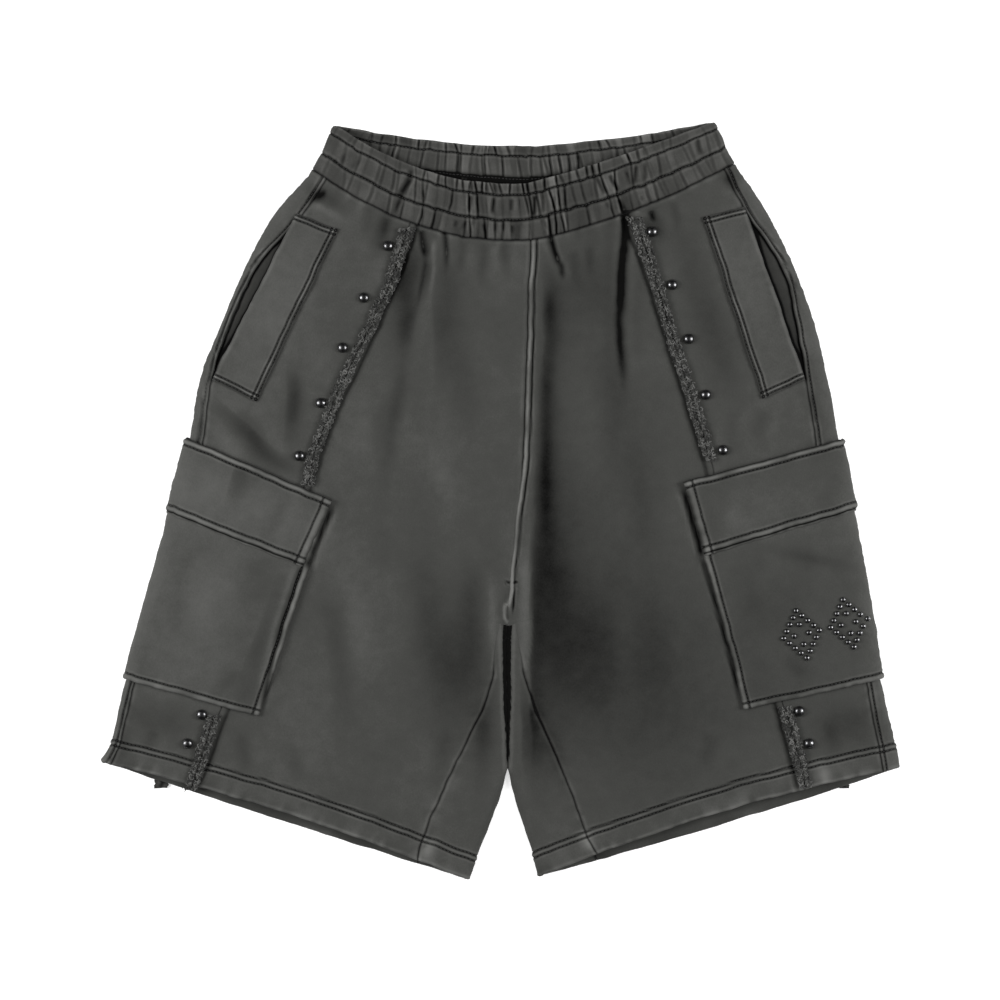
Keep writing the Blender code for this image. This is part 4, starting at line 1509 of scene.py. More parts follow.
@dataclass
class CargoPocket:
    """A cargo pocket that goes round the side fold, and the flap that closes it."""

    lie: Lie
    materials: Materials
    puff: float = 1.9

    def grid(self, patch: PatchPlan, step: float, stitches: float) -> tuple[Array, Array]:
        """The rows and reaches of a patch, close together along its edges.

        Args:
            patch: the patch.
            step: the grid's step away from the edges.
            stitches: how far in from its edges the grid stays close.

        Returns:
            The grid's row numbers and its reaches.
        """
        plan = self.lie.plan
        fold_top, fold_foot = plan.row_at_fold([patch.fold_top, patch.fold_foot])
        (top, foot), reaches = plan.locate([patch.top_x, patch.foot_x], [patch.top_y, patch.foot_y])
        deep = abs(patch.fold_top - patch.fold_foot)
        wide = PATCH_BACK_REACH + float(reaches.mean())
        down = graded(deep, (0.0, stitches, deep - stitches, deep), 0.65, step, 6.0)[:, None] / deep
        across = graded(wide, (wide - stitches, wide), 0.65, step, 6.0)[None] / wide
        row = fold_top + (fold_foot - fold_top) * down
        front = reaches[0] + (reaches[1] - reaches[0]) * down
        reach = -PATCH_BACK_REACH + (PATCH_BACK_REACH + front) * across
        return row + (top + (foot - top) * down - row) / front * reach, reach

    def body(self) -> None:
        """Builds the pocket's body, puffed up by its bellows."""
        side = self.lie.plan.side
        row, reach = self.grid(POCKETS[side], 1.7, 6.0)
        piece = ClothPiece(f"pocket_body_{side.value}", self.lie, row, reach, PATCH_LIFT, CLOTH, 21)
        rim = np.minimum(piece.from_end, piece.from_foot)
        swell = self.puff * (1 - np.exp(-rim / 13.0))
        lifted = hump(piece.from_end, 7.0) * smoothstep(4.0, 40.0, piece.from_foot)
        slack = 0.35 * piece.noise.at(piece.from_end, piece.from_foot, 34.0, 46.0)
        slack = slack + 0.20 * piece.noise.at(piece.from_end, piece.from_foot, 12.0, 16.0)
        piece.add(piece.up * (swell + lifted + slack * smoothstep(2.0, 14.0, rim)))
        piece.edges(end=Edging(roll=0.45, ridge_at=2.2, stitches=(5.6,), pucker=0.35, wear=0.16,
                               welt=0.7, welt_at=6.0, dark=0.0),
                    foot=Edging(roll=0.40, ridge_at=2.0, stitches=(5.2,), pucker=0.40, wear=0.10,
                                welt=0.5, welt_at=5.6, dark=0.0),
                    start=Edging(stitches=(5.0,), wear=0.1))
        piece.make(self.materials, f"cargo_pocket_{side.value}", f"front_side_{side.value}", f"back_{side.value}")

    def cover(self) -> None:
        """Builds the flap: a ridge along its seam, and a doubled, stitched edge."""
        side = self.lie.plan.side
        row, reach = self.grid(FLAPS[side], 1.45, 7.0)
        piece = ClothPiece(f"pocket_flap_{side.value}", self.lie, row, reach, 2 * PATCH_LIFT, CLOTH + 0.5, 22)
        rim = np.minimum(piece.from_end, piece.from_foot)
        swell = 1.6 * smoothstep(0.0, 30.0, piece.from_top) * (1 - np.exp(-piece.from_end / 9.0))
        curl = 0.7 * hump(piece.from_foot, 6.0) * piece.noise.at(piece.from_end, 0 * row, 46.0)
        piece.add(piece.up * (swell + curl + 0.18 * piece.noise.at(piece.from_end, piece.from_foot, 11.0, 13.0)),
                  -0.02 * smoothstep(0.0, 6.0, rim))
        piece.edges(top=Edging(roll=1.15, ridge_at=2.5, stitches=(5.6,), pucker=0.25, wear=0.24, dark=0.30),
                    end=Edging(roll=0.45, ridge_at=3.6, stitches=(7.4,), pucker=0.45, wear=0.12,
                               welt=0.45, welt_at=7.8, dark=0.0),
                    foot=Edging(roll=0.55, ridge_at=4.2, stitches=(7.6,), pucker=0.50, wear=0.14,
                                welt=0.45, welt_at=8.0, dark=0.0, layer=2.3),
                    start=Edging(stitches=(5.0,), wear=0.1))
        piece.make(self.materials, f"cargo_flap_{side.value}", f"pocket_body_{side.value}")

    def build(self) -> None:
        """Builds the body and the flap."""
        self.body()
        self.cover()


# A welt's corners: the outer top, the inner top, the inner foot and the outer foot.
WELTS = {Side.RIGHT: ((-173.5, 243), (-138, 228.5), (-207, 82.5), (-245.5, 101.5)),
         Side.LEFT: ((207.5, 248), (172, 239.5), (222.5, 85), (259, 101))}


@dataclass
class Welt:
    """The stitched-down welt beside a side pocket's mouth."""

    lie: Lie
    materials: Materials

    def build(self) -> None:
        """Builds the welt, its mouth side standing a little open."""
        plan = self.lie.plan
        side = plan.side.value
        outer_top, inner_top, inner_foot, outer_foot = (np.array(corner) for corner in WELTS[plan.side])
        wide, deep = (float(np.hypot(*(corner - outer_top))) for corner in (inner_top, outer_foot))
        across = graded(wide, (0.0, wide - 5.4, wide), 0.65, 1.4, 5.0) / wide
        down = graded(deep, (0.0, 5.4, deep - 5.4, deep), 0.65, 1.4, 5.0) / deep
        across, down = np.meshgrid(across, down)
        start = outer_top + (outer_foot - outer_top) * down[..., None]
        end = inner_top + (inner_foot - inner_top) * down[..., None]
        spot = start + (end - start) * across[..., None]
        row, reach = plan.locate(spot[..., 0], spot[..., 1])
        piece = ClothPiece(f"mouth_welt_{side}", self.lie, row, reach, PATCH_LIFT, CLOTH, 31)
        piece.add((hump(piece.from_start, 7.0) + 0.5) * np.sin(math.pi * down)
                  + 0.25 * piece.noise.at(piece.from_end, piece.from_top, 13.0, 21.0))
        sewn = Edging(roll=0.22, ridge_at=3.5, stitches=(1.7, 5.2), pucker=0.30, wear=0.05, dark=0.10)
        piece.edges(end=sewn, top=sewn, foot=sewn,
                    start=Edging(roll=0.4, ridge_at=1.8, pucker=0.25, wear=0.1, dark=0.0))
        piece.make(self.materials, f"welt_{side}", f"front_side_{side}")


# The raw-edged strips: places on each one's middle line, with its width there.
STRIPS = {
    ("upper", Side.RIGHT): ((-78.5, 230, 12), (-93, 183, 10), (-116, 135, 9.5), (-140.5, 83.5, 9.5),
                            (-159.5, 35, 9.5), (-163.5, 11.5, 9)),
    ("upper", Side.LEFT): ((114, 239.5, 12), (129, 194.5, 10), (146, 138.5, 9.5), (163, 83.5, 9.5), (178.5, 32, 9)),
    ("lower", Side.RIGHT): ((-242, -183, 10), (-253.5, -219.5, 10.5), (-263, -247, 9.5)),
    ("lower", Side.LEFT): ((241.5, -177, 10), (252, -213.5, 10.5), (259.5, -245, 9.5)),
    ("back", Side.RIGHT): ((-277, -195, 9), (-286.5, -232, 13), (-289.5, -246.5, 12)),
    ("back", Side.LEFT): ((281, -195, 9), (291, -232, 10), (293, -246.5, 9)),
}


@dataclass
class RawStrip:
    """A strip whose edges were left raw: a nubbly, frayed roll of cloth with curled yarns."""

    lie: Lie
    materials: Materials
    where: str
    curl_gap: float = 1.15
    yarn: float = 0.42
    rings: int = 6
    step: float = 0.68
    columns: int = 19
    ease: float = 1.2        # its edges roll in

    def build(self) -> None:
        """Builds the strip and its yarns."""
        plan = self.lie.plan
        side, behind = plan.side.value, self.where == "back"
        spots = STRIPS[self.where, plan.side]
        noise = Unevenness(41)
        long = spots[0][1] - spots[-1][1]
        steps = np.linspace(0.0, len(spots) - 1.0, round(long / self.step) + 1)
        x, y, width = (np.interp(steps, range(len(spots)), column) for column in zip(*spots))
        run = np.linspace(0.0, long, len(steps))
        across = np.linspace(-0.5, 0.5, self.columns) * (-1 if plan.turned else 1)
        ragged = width * (1.0 + 0.13 * noise.at(run, 0 * run, 2.6) + 0.10 * noise.at(run, 0 * run + 9, 7.0))
        sway = 0.5 * noise.at(run, 0 * run + 20, 11.0)
        grid_x = (x + sway)[:, None] + ragged[:, None] * across[None]
        row, reach = plan.locate(grid_x, y[:, None] + 0 * across[None], behind)
        if behind:
            row, reach = row[:, ::-1], -reach[:, ::-1]
        piece = ClothPiece(f"frayed_strip_{self.where}_{side}", self.lie, row, reach, PATCH_LIFT, CLOTH, 42)
        share = piece.from_start / (piece.from_start + piece.from_end)
        chain = np.abs(np.sin(math.pi * (run[:, None] / 3.1 + 0.35 * np.sin(share * 5.0))))
        dome = np.sqrt(np.clip(4 * share * (1 - share), 0.0, 1.0))
        nubs = piece.noise.at(piece.from_start, piece.from_top, 1.5, 1.9)
        lanes = hump(share - 0.22, 0.12) + hump(share - 0.78, 0.12)
        height = 0.9 * dome + 0.28 * nubs + lanes * (0.55 * chain - 0.10) - 0.45 * hump(share - 0.5, 0.13)
        # Painted highlights on the nubs and the chain's loops, and painted shade between them and in the middle
        # furrow.
        tone = 0.30 * nubs + 0.34 * lanes * (chain - 0.35) - 0.34 * hump(share - 0.5, 0.12)
        piece.add(height * (0.4 if behind else 1.0), tone)
        piece.ease = self.ease
        below = "back" if behind else "front_side"
        obj = piece.make(self.materials, f"raw_strip_{self.where}_{side}", f"{below}_{side}",
                         finish=self.materials.fray, slot=Slot.RAW_EDGE)
        if not behind:
            self.curl(piece, obj.name)

    def curl(self, piece: ClothPiece, name: str) -> None:
        """Lays short curled yarns along both of the strip's edges and over its middle."""
        points, normals = piece.shape()
        draw = np.random.default_rng(len(name) * 7 + len(points))
        parts = MeshParts()
        last = self.columns - 1
        for lane in (0.06, 0.30, 0.68, 0.94):
            for number in range(int(len(points) * self.step / self.curl_gap)):
                line = (number + draw.uniform(-0.4, 0.4)) * self.curl_gap / self.step
                line = int(np.clip(line, 1, len(points) - 2))
                column = int(np.clip((lane + draw.normal(0, 0.06)) * last, 0, last))
                ahead = points[line + 1, column] - points[line - 1, column]
                up = normals[line, min(max(column, 2), last - 2)]
                self.lay_yarn(parts, points[line, column], ahead, up, draw)
        yarns = parts.build(f"{name}_yarns", self.materials.fray)
        declare(yarns, Slot.RAW_EDGE)
        log.info("%s: %d triangles", yarns.name, triangles(yarns))

    def lay_yarn(self, parts: MeshParts, start: Array, ahead: Array, up: Array,
                 draw: np.random.Generator) -> None:
        """Adds one curl: a short tube that turns through an arc just over the cloth."""
        ahead = ahead / max(float(np.linalg.norm(ahead)), 1e-6)
        aside = np.cross(up, ahead)
        turn = draw.uniform(0.0, 2 * math.pi)
        radius, sweep = draw.uniform(0.8, 1.9), draw.uniform(1.6, 4.2)
        angles = turn + np.linspace(0.0, sweep, self.rings)
        flat = ahead[None] * np.cos(angles)[:, None] + aside[None] * np.sin(angles)[:, None]
        rise = self.yarn * 0.8 + draw.uniform(0.1, 0.8) * np.sin(np.linspace(0.0, math.pi, self.rings))
        path = start + (flat - flat.mean(axis=0)) * radius + up * rise[:, None]
        thick = self.yarn * draw.uniform(0.7, 1.15)
        rings = [spot + thick * (out * math.cos(t) + up * math.sin(t))
                 for spot, out in zip(path, flat) for t in np.arange(4) * math.pi / 2]
        faces = np.concatenate([tube(self.rings, 4), [(3, 2, 1, 0), np.arange(4) + 4 * self.rings - 4]])
        parts.add(np.array(rings), [faces], draw.uniform(-0.50, 0.50))


STUDS = {
    Side.RIGHT: ((-95.5, 215), (-116, 171), (-134, 128.5), (-152.5, 81.5), (-170.5, 36.5), (-253.5, -183),
                 (-265.5, -207.5)),
    Side.LEFT: ((129, 227), (146, 182), (160, 136), (174.5, 88.5), (189, 41.5), (253.5, -180), (262, -207.5)),
}


@dataclass(frozen=True)
class Dome:
    """A domed stud head, turned from its foot up."""

    radius: float
    height: float
    seat: float
    sides: int
    rings: int

    def add_to(self, parts: MeshParts, foot: Array) -> None:
        """Adds a head that stands on a point."""
        angles = np.linspace(0.0, math.pi / 2, self.rings + 1)[:-1]
        radii = self.radius * np.concatenate([[0.93, 1.0], np.cos(angles) ** 0.9 * 0.985])
        rises = np.concatenate([[0.0, self.seat * 0.35], self.seat + (self.height - self.seat) * np.sin(angles)])
        turns = np.arange(self.sides) * 2 * math.pi / self.sides
        rim = np.stack([np.cos(turns), np.sin(turns), 0 * turns], axis=1)
        rings = rim[None] * radii[:, None, None] + rises[:, None, None] * (0.0, 0.0, 1.0)
        points = foot + np.concatenate([rings.reshape(-1, 3), [(0.0, 0.0, self.height), (0.0, 0.0, 0.0)]])
        top = len(rings) * self.sides
        around = np.arange(self.sides)
        after = np.roll(around, -1)
        crown = np.stack([top - self.sides + around, top - self.sides + after, 0 * around + top], axis=1)
        base = np.stack([after, around, 0 * around + top + 1], axis=1)
        parts.add(points, [tube(len(rings), self.sides), crown, base])


@dataclass
class Studs:
    """The domed studs beside a leg's strips."""

    lie: Lie
    materials: Materials
    dome: Dome = Dome(radius=4.5, height=4.2, seat=0.75, sides=40, rings=9)

    def build(self) -> None:
        """Builds each stud as a piece of its own."""
        side = self.lie.plan.side
        for number, (x, y) in enumerate(STUDS[side], start=1):
            parts = MeshParts()
            self.dome.add_to(parts, foot_on(self.lie, x, y, LAY_GAP))
            obj = parts.build(f"dome_stud_{side.value}_{number}", self.materials.metal)
            declare(obj, Slot.GUNMETAL, f"stud_{side.value}_{number}")
        log.info("studs of the %s leg: %d", side.value, number)


def foot_on(lie: Lie, x: float, y: float, gap: float) -> Array:
    """A point on the front of the leg's cloth, with all its relief, and a gap over it."""
    row, reach = lie.plan.locate([x], [y])
    base, up = lie.plan.skin(row, reach)
    height, _ = lie.relief(base, row, reach, up)
    return base[0] + np.array([0.0, 0.0, float(height[0]) + gap])


@dataclass
class PocketPattern:
    """The field of small domed studs on the wearer's left cargo pocket: two nested lozenges, side by side."""

    lie: Lie
    materials: Materials
    dome: Dome = Dome(radius=2.35, height=2.0, seat=0.4, sides=24, rings=7)
    centre: tuple[float, float] = (275.0, -110.0)
    turn: float = 13.0
    apart: float = 41.0
    wide: float = 15.5
    tall: float = 20.5
    counts: tuple[tuple[float, int], ...] = ((1.0, 4), (0.42, 1))

    CORNERS = ((0, 1), (1, 0), (0, -1), (-1, 0))

    def build(self) -> None:
        """Builds the whole field as one piece."""
        parts = MeshParts()
        turn = math.radians(self.turn)
        for middle in (-self.apart / 2, self.apart / 2):
            for size, count in self.counts:
                for place in range(4 * count):
                    side, share = divmod(place / count, 1.0)
                    corner, after = (self.CORNERS[(int(side) + step) % 4] for step in (0, 1))
                    ahead, up = (a + (b - a) * share for a, b in zip(corner, after))
                    ahead, up = middle + ahead * size * self.wide, up * size * self.tall
                    x = self.centre[0] + ahead * math.cos(turn) - up * math.sin(turn)
                    y = self.centre[1] + ahead * math.sin(turn) + up * math.cos(turn)
                    self.dome.add_to(parts, foot_on(self.lie, x, y, PATCH_LIFT + CargoPocket.puff + 0.75))
        obj = parts.build("pocket_dome_field", self.materials.metal)
        declare(obj, Slot.GUNMETAL)
        log.info("%s: %d triangles", obj.name, triangles(obj))


# The creases of the front, each from its deep end to where it dies away.
FRONT_CREASES = tuple(Crease(*row) for row in (
    # Band, the wearer's right: a strong pair of diagonals, and a few small ones near the side.
    (-74.5, 280.5, -90, 253, 1.9, 2, 1.5, 0.4, 0.15, 0.35, 0.3),
    (-72.5, 276, -91, 240, 1.6, 1.6, -1, 0.36, 0.25, 0.25, 0.3),
    (-139.5, 289.5, -140.5, 284.5, 0.8, 1.3, 0, 0.2, 0.3, 0.4),
    (-132, 294.5, -136.5, 281.5, 1, 1.6, 0.5, 0.2, 0.3, 0.5, 0.2),
    (-119.5, 289.5, -129.5, 279, 0.9, 1.8, 0.5, 0.14), (-66, 263, -65.5, 255.5, 1, 1.3, 0, 0.2, 0.3, 0.4),
    # Band, the middle.
    (-26, 258.5, -27, 243.5, 1.9, 1.5, 0.4, 0.4, 0.15, 0.25), (-24.5, 272, -25, 260, 1.3, 1.4, 0, 0.28, 0.2, 0.3),
    (-13, 271, -11.5, 258.5, 1.3, 1.3, 0.3, 0.26, 0.2, 0.3),
    (-5.5, 269, -4.5, 257.5, 1.3, 1.3, 0.3, 0.28, 0.2, 0.3), (-5.5, 257, -6.5, 241, 1.8, 1.5, -0.4, 0.4, 0.2, 0.3),
    (9, 255.5, 9.5, 243.5, 1.5, 1.4, 0, 0.3, 0.2, 0.3), (29, 258.5, 28.5, 238.5, 2.2, 1.5, 0, 0.52, 0.12, 0.2),
    (35.5, 263.5, 35.5, 241, 1.5, 1.4, 0.5, 0.28, 0.2, 0.3), (45.5, 258, 45.5, 243.5, 1.3, 1.4, 0, 0.24, 0.2, 0.4),
    # Band, the wearer's left.
    (80.5, 274.5, 89, 257.5, 1.9, 1.6, 0.8, 0.36, 0.2, 0.3),
    (93, 275.5, 101.5, 260, 2.1, 1.6, -0.6, 0.4, 0.15, 0.3),
    (106.5, 279.5, 112, 263, 1.5, 1.4, 0.4, 0.26, 0.2, 0.4), (115, 285, 114, 266, 1.9, 1.4, 0, 0.36, 0.2, 0.3),
    (122, 286.5, 122.5, 266, 1.4, 1.4, 0.4, 0.24, 0.2, 0.4),
    (167.5, 307, 171.5, 291, 1.6, 1.6, -0.8, 0.32, 0.2, 0.4, 0.3),
    # Band, along the waist seam.
    (-37, 236.5, -39, 229.5, 1.2, 1.4, 0, 0.2, 0.2), (-29.5, 236.5, -33, 228, 1.2, 1.4, 0, 0.2, 0.2),
    (-21.5, 239, -24, 231, 1.2, 1.4, 0, 0.2, 0.2), (-15.5, 234, -12.5, 224.5, 1.2, 1.4, 0, 0.2, 0.2),
    (-4, 236.5, -4, 224.5, 1.2, 1.3, 0, 0.2, 0.2), (2.5, 236.5, 2.5, 225.5, 1.2, 1.3, 0, 0.2, 0.2),
    (10.5, 233, 10.5, 223, 1.2, 1.3, 0, 0.2, 0.2), (35, 239, 40.5, 228, 1.2, 1.4, 0, 0.2, 0.2),
    (89, 252.5, 93, 244.5, 1.3, 1.4, 0, 0.2, 0.2), (100, 255, 106.5, 244.5, 2, 1.7, 0, 0.36, 0.2, 0.3),
    (120.5, 257.5, 120.5, 252.5, 1.2, 1.4, 0, 0.14, 0.2),
    # The pleats that run down from the waist seam.
    (-68.5, 228.5, -63, 203, 1.9, 2.8, -0.6, 0.32, 0.04, 0.3, -0.7),
    (-63, 209, -73, 160, 1.6, 3.4, 2.5, 0.24, 0.25, 0.45, -0.7),
    (-70.5, 172, -86.5, 112, 1.6, 7, -2, 0.15, 0.3, 0.55, 0.2),
    (-48, 228, -47.5, 189, 1.7, 2, 2.2, 0.32, 0.05, 0.6, 0.2), (-80, 214, -87, 150, 1.1, 8, 0, 0.14),
    (-57.5, 224, -62, 168, -1.4, 3.2, 3, -0.12, 0.2), (106, 246, 103, 206, 2.4, 3.6, 0.6, 0.6, 0.03, 0.2, -0.5),
    (103.6, 218, 100.8, 148, 2.4, 3.5, -0.4, 0.6, 0.2, 0.4, -0.5),
    (100.8, 172, 107.5, 78, 1.3, 3.3, -2, 0.38, 0.3, 0.6, -0.3), (111.5, 238, 106.5, 160, -1, 4.5, 0, -0.02, 0.2),
    (42.5, 225.5, 52.5, 196, 2.2, 2.2, -1, 0.5, 0.04, 0.3, 0.5),
    (52, 203, 54, 184, 1.5, 2.2, 0, 0.34, 0.3, 0.5, 0.2), (41.5, 182, 37.5, 128, 1.2, 5.5, 1.5, 0.12, 0.3, 0.6),
    (61, 214, 67, 170, 0.9, 4.5, 0, 0.1, 0.2, 0.6), (76, 217, 75, 182, 0.9, 3.5, 0, 0.1, 0.2, 0.6),
    (-14, 218, -17, 176, 1, 4, 0, 0.12, 0.15, 0.6), (3, 219, 6, 188, 1, 3.5, 0, 0.12, 0.15, 0.6),
    (-31, 221, -35, 186, 0.9, 3, 0, 0.1, 0.15, 0.6), (127.5, 246, 131.5, 234, 1.6, 2.6, 0, 0.32, 0.1),
    (147, 254, 152, 222, 0.9, 3.5, 0, 0.1, 0.1, 0.6), (-110, 250, -118, 214, 0.9, 4, 0, 0.1, 0.1, 0.6),
    (-96, 240, -101, 216, 0.9, 3, 0, 0.1, 0.1, 0.6),
    # At the upper ends of the side seams.
    (-146.5, 263, -168.5, 250.5, 1.6, 3.5, 1, 0.36, 0.2, 0.4, 0.3),
    (190.5, 276, 205, 258, 1.3, 3, -1, 0.24, 0.2, 0.4),
    # Soft folds down the fronts.
    (-228, 78, -198, 32, 1.3, 7, 4, 0.1, 0.3, 0.5, 0.2), (-177, 112, -176, 56, 1.1, 6, 3, 0.09, 0.3, 0.5, 0.2),
    (-206, 64, -168, 24, -0.8, 8, 0, -0.05), (-92, 96, -100, 18, 1.2, 9, -4, 0.09),
    (-38, 140, -30, 34, 1.2, 11, 3, 0.09), (-58, 50, -40, -58, -1.1, 10, 4, -0.05),
    (-8, -52, -6, -150, -1.2, 5, 0, -0.12, 0.3, 0.4), (-24, -40, -22, -172, 1.2, 9, -2, 0.11),
    (-72, -30, -64, -176, 1.3, 14, 5, 0.09), (-120, -20, -106, -196, -1.2, 13, -6, -0.05),
    (-150, -70, -132, -220, 1.1, 8, 5, 0.09), (-46, -186, -58, -262, 1, 7, 2),
    (-178, -206, -170, -246, 0.9, 7, 0, 0.07, 0.3, 0.4), (-222, -196, -216, -240, 1, 5, 1, 0.09, 0.2, 0.4),
    (-293, -196, -302, -216, 1, 5, 0, 0.1, 0.2, 0.4), (31, -10, 28, -190, 1.2, 3.4, 1, 0.03, 0.3, 0.4, -0.8),
    # The crotch seam's stitched tab, turned over on itself.
    (10.2, -68, 11.5, -77, -0.7, 1.5, 0, -0.3, 0.15, 0.15), (11, -75, 5.6, -92, -1.2, 1.5, 0.6, -0.4, 0.12, 0.12),
    (4.6, -88, 3.6, -102, -1, 1.4, -0.6, -0.34, 0.12, 0.12),
    (2.8, -100.5, 7.4, -105, -0.8, 1.2, -0.6, -0.3, 0.12, 0.2), (2.5, -71, 15, -70, 0.6, 0.9, 0, 0.5, 0.1, 0.1),
    (21, -40, 20, -160, -1.2, 4.5, 0, -0.1, 0.2, 0.4), (38, 146, 36, -46, 1, 5.5, 1, 0.12, 0.3, 0.4),
    (66, 112, 78, -20, -1.1, 12, 6, -0.05), (64, -40, 74, -170, 1, 13, -5, 0), (110, 60, 122, -60, 1, 11, 5),
    (128, -34, 140, -190, 1, 11, -6, 0.02), (98, -70, 108, -220, -1.1, 12, 5, -0.05),
    (44, -190, 58, -262, 1, 7, -2, 0.09), (178, -196, 172, -232, 0.9, 6, 0, 0.07, 0.3, 0.4),
    (276, -186, 284, -224, 1, 6, 1, 0.09, 0.3, 0.4), (224, 78, 214, 44, 1, 6, 0, 0.09, 0.2),
    (262, 92, 270, 58, 1.1, 4.5, 0, 0.1, 0.2, 0.4), (196, 80, 192, 22, 0.8, 6, 2, 0.05),
    # Pressed in beside the cargo pockets' front edges and under the flaps, with the painted shadow that these edges
    # cast.
    (-141.5, -4, -165, -60, 0.8, 2.6, -1, 0.56, 0.2, 0.1, 0.4),
    (-168, -56, -203.5, -184, 0.7, 2, -3, 0.48, 0.05, 0.2, 0.4),
    (153.5, 12, 171, -50, 0.8, 2.6, 1, 0.56, 0.2, 0.1, -0.4),
    (171.5, -50, 205, -178, 0.7, 1.8, 2, 0.44, 0.05, 0.2, -0.4),
    # On the cargo pockets.
    (-198, -34, -236, -128, 0.9, 12, 6, 0.05), (-262, -30, -272, -128, 0.8, 9, -4, 0.05),
    (-216, -142, -246, -168, 0.8, 6), (206, -30, 222, -126, 0.9, 11, -5, 0.05), (240, -130, 262, -158, 0.8, 7),
))

FRONT_MARKS = tuple(ToneMark(*row) for row in (
    # The deep shade that runs down beside the centre seam on the wearer's left, sharp on its near side.
    (42.5, 138, 66, 8, -0.18, 89, 6.5), (39, 30, 84, 11, -0.25, 88.5, 9.5), (54, -122, 78, 80, -0.34, 90, 27.8),
    (44, -40, 60, 20, -0.22, 90, 18), (27.5, -197, 34, 12, -0.3, 93, 9), (76, 186, 54, 26, -0.09),
    (118, -195, 70, 60, -0.07, 0), (38, -247, 40, 14, -0.06, 80), (27, 60, 110, 4, 0.03, 89),
    (20, -74, 36, 6, 0.03),
    # The wearer's right thigh.
    (-38, -131, 60, 28, -0.26, 96), (-14, -199, 32, 9, -0.24, 86), (-9, -66, 38, 10, -0.05),
    # Painted shade beside the pleats, the strips and the tops of the side seams, with one paler patch.
    (-74, 188, 44, 14, -0.22, 78, -9.5), (-88, 158, 40, 14, -0.08, 72), (-48.5, 165, 56, 13, -0.15, 90, 8),
    (-89, 76, 60, 6, -0.15, 81), (-100, 229, 17, 8, -0.26, 75), (98, 158, 78, 9, -0.2), (77, 190, 36, 12, -0.1),
    (51, 165, 34, 15, -0.11), (174, 163, 78, 15, -0.15, 107), (131, 233, 16, 8, -0.22, 100),
    (-150, 257, 17, 6, -0.24, -30), (-146, 244, 14, 4, 0.1, -30), (197, 275, 11, 8, -0.16, 40),
    # Above and on the cargo pockets.
    (-213, 53, 30, 7.5, -0.22, -44, 6), (-224, 40, 22, 6, 0.07, -40), (-177, 78, 27, 7, -0.2, 87, 6),
    (-187, 31, 20, 7, -0.13, -18), (-221, 15, 20, 9, -0.16, 76, 8), (-189, -14, 17, 6, -0.09, 66),
    (-262, -12, 20, 16, 0.05, 60), (-204, -122, 44, 7, -0.1, 70, 6), (-213, -162, 18, 9, -0.09, 30),
    (-252, -92, 80, 52, 0.11, 80), (-232, 2, 78, 24, 0.13, -22), (-193, 163, 88, 30, 0.12, 65),
    (212, 168, 80, 24, 0.06, -70), (246, -111, 70, 55, -0.07, 100), (263, -50, 34, 6, -0.13, -12),
    (233, -1, 60, 22, 0.03, 12), (197, -18, 16, 9, 0.08, 100), (-288, -187, 26, 17, -0.16, -6),
    (293, -192, 30, 18, -0.17, 5),
    # The folded hem allowances that show as paler tabs where seams cross the hem.
    (-61.5, -298, 8.5, 5, 0.34, 62, 3.4), (74.5, -292.5, 9, 5, 0.34, -57), (275, -234, 9, 5, 0.26, -70),
    (-322, -212, 14, 5, -0.12, 80),
    # Broad unevenness.
    (152, -171, 80, 60, -0.11), (93, 33, 90, 50, -0.1), (-30, 34, 100, 34, 0.03), (20, 250, 90, 26, -0.1, 0),
    (-124, 290, 48, 26, -0.05, -30), (114, 172, 56, 7, -0.12), (-16, 130, 70, 36, -0.04),
))

# The back, which lies on the floor: only what rises off it shows.
BACK_CREASES = tuple(Crease(*row) for row in (
    (-96, 262, -92, 190, 1.4, 5, 2, 0.14, 0.05, 0.6), (-60, 256, -66, 204, 1.2, 4, -1, 0.14, 0.05, 0.6),
    (-22, 250, -16, 188, 1.3, 4.5, 1, 0.14, 0.05, 0.6), (18, 250, 12, 200, 1.1, 4, -1, 0.14, 0.05, 0.6),
    (52, 254, 60, 184, 1.5, 5, 2, 0.15, 0.05, 0.6), (98, 262, 92, 206, 1.2, 4.5, 0, 0.14, 0.05, 0.6),
    (140, 268, 150, 214, 1.1, 5, 0, 0.12, 0.05, 0.6), (-134, 262, -146, 208, 1.1, 5, 0, 0.12, 0.05, 0.6),
    (-30, -96, -120, -40, 1.6, 11, 7, 0.1, 0.1, 0.6, 0.2), (-26, -118, -136, -96, 1.3, 10, 5, 0.09, 0.1, 0.6),
    (34, -96, 124, -34, 1.6, 11, -7, 0.1, 0.1, 0.6, 0.2), (32, -120, 140, -104, 1.3, 10, -5, 0.09, 0.1, 0.6),
    (-150, 120, -170, -40, 1, 14, 6), (150, 120, 176, -40, 1, 14, -6),
    (-110, -120, -96, -250, 1.1, 12, 5, 0.07, 0.3, 0.4), (-200, -110, -190, -240, 1, 11, -5, 0.07, 0.3, 0.4),
    (112, -120, 100, -250, 1.1, 12, -5, 0.07, 0.3, 0.4), (210, -110, 196, -236, 1, 11, 5, 0.07, 0.3, 0.4),
    (-290, -60, -300, -170, 0.9, 8, 3, 0.07, 0.3, 0.4), (300, -60, 306, -170, 0.9, 8, -3, 0.07, 0.3, 0.4),
))

BACK_MARKS = tuple(ToneMark(*row) for row in (
    (0, 60, 130, 60, 0.02), (-90, -120, 90, 50, -0.03, 85), (96, -110, 90, 50, -0.03, 95),
    (0, -90, 40, 24, -0.05, 0),
))

# How deep the gathers are along the waist, from the side fold to the middle.
FRONT_GATHERS = {
    Side.RIGHT: ((0, 0.25), (40, 0.3), (88, 0.45), (98, 0.85), (115, 0.65), (135, 0.7), (145, 1),
                 (250, 1)),
    Side.LEFT: ((0, 0.25), (45, 0.35), (72, 0.55), (84, 1), (118, 1), (130, 0.7), (150, 0.75),
                (160, 1), (250, 1)),
}
BACK_GATHERS = ((0, 0.35), (45, 0.55), (65, 1), (250, 1))


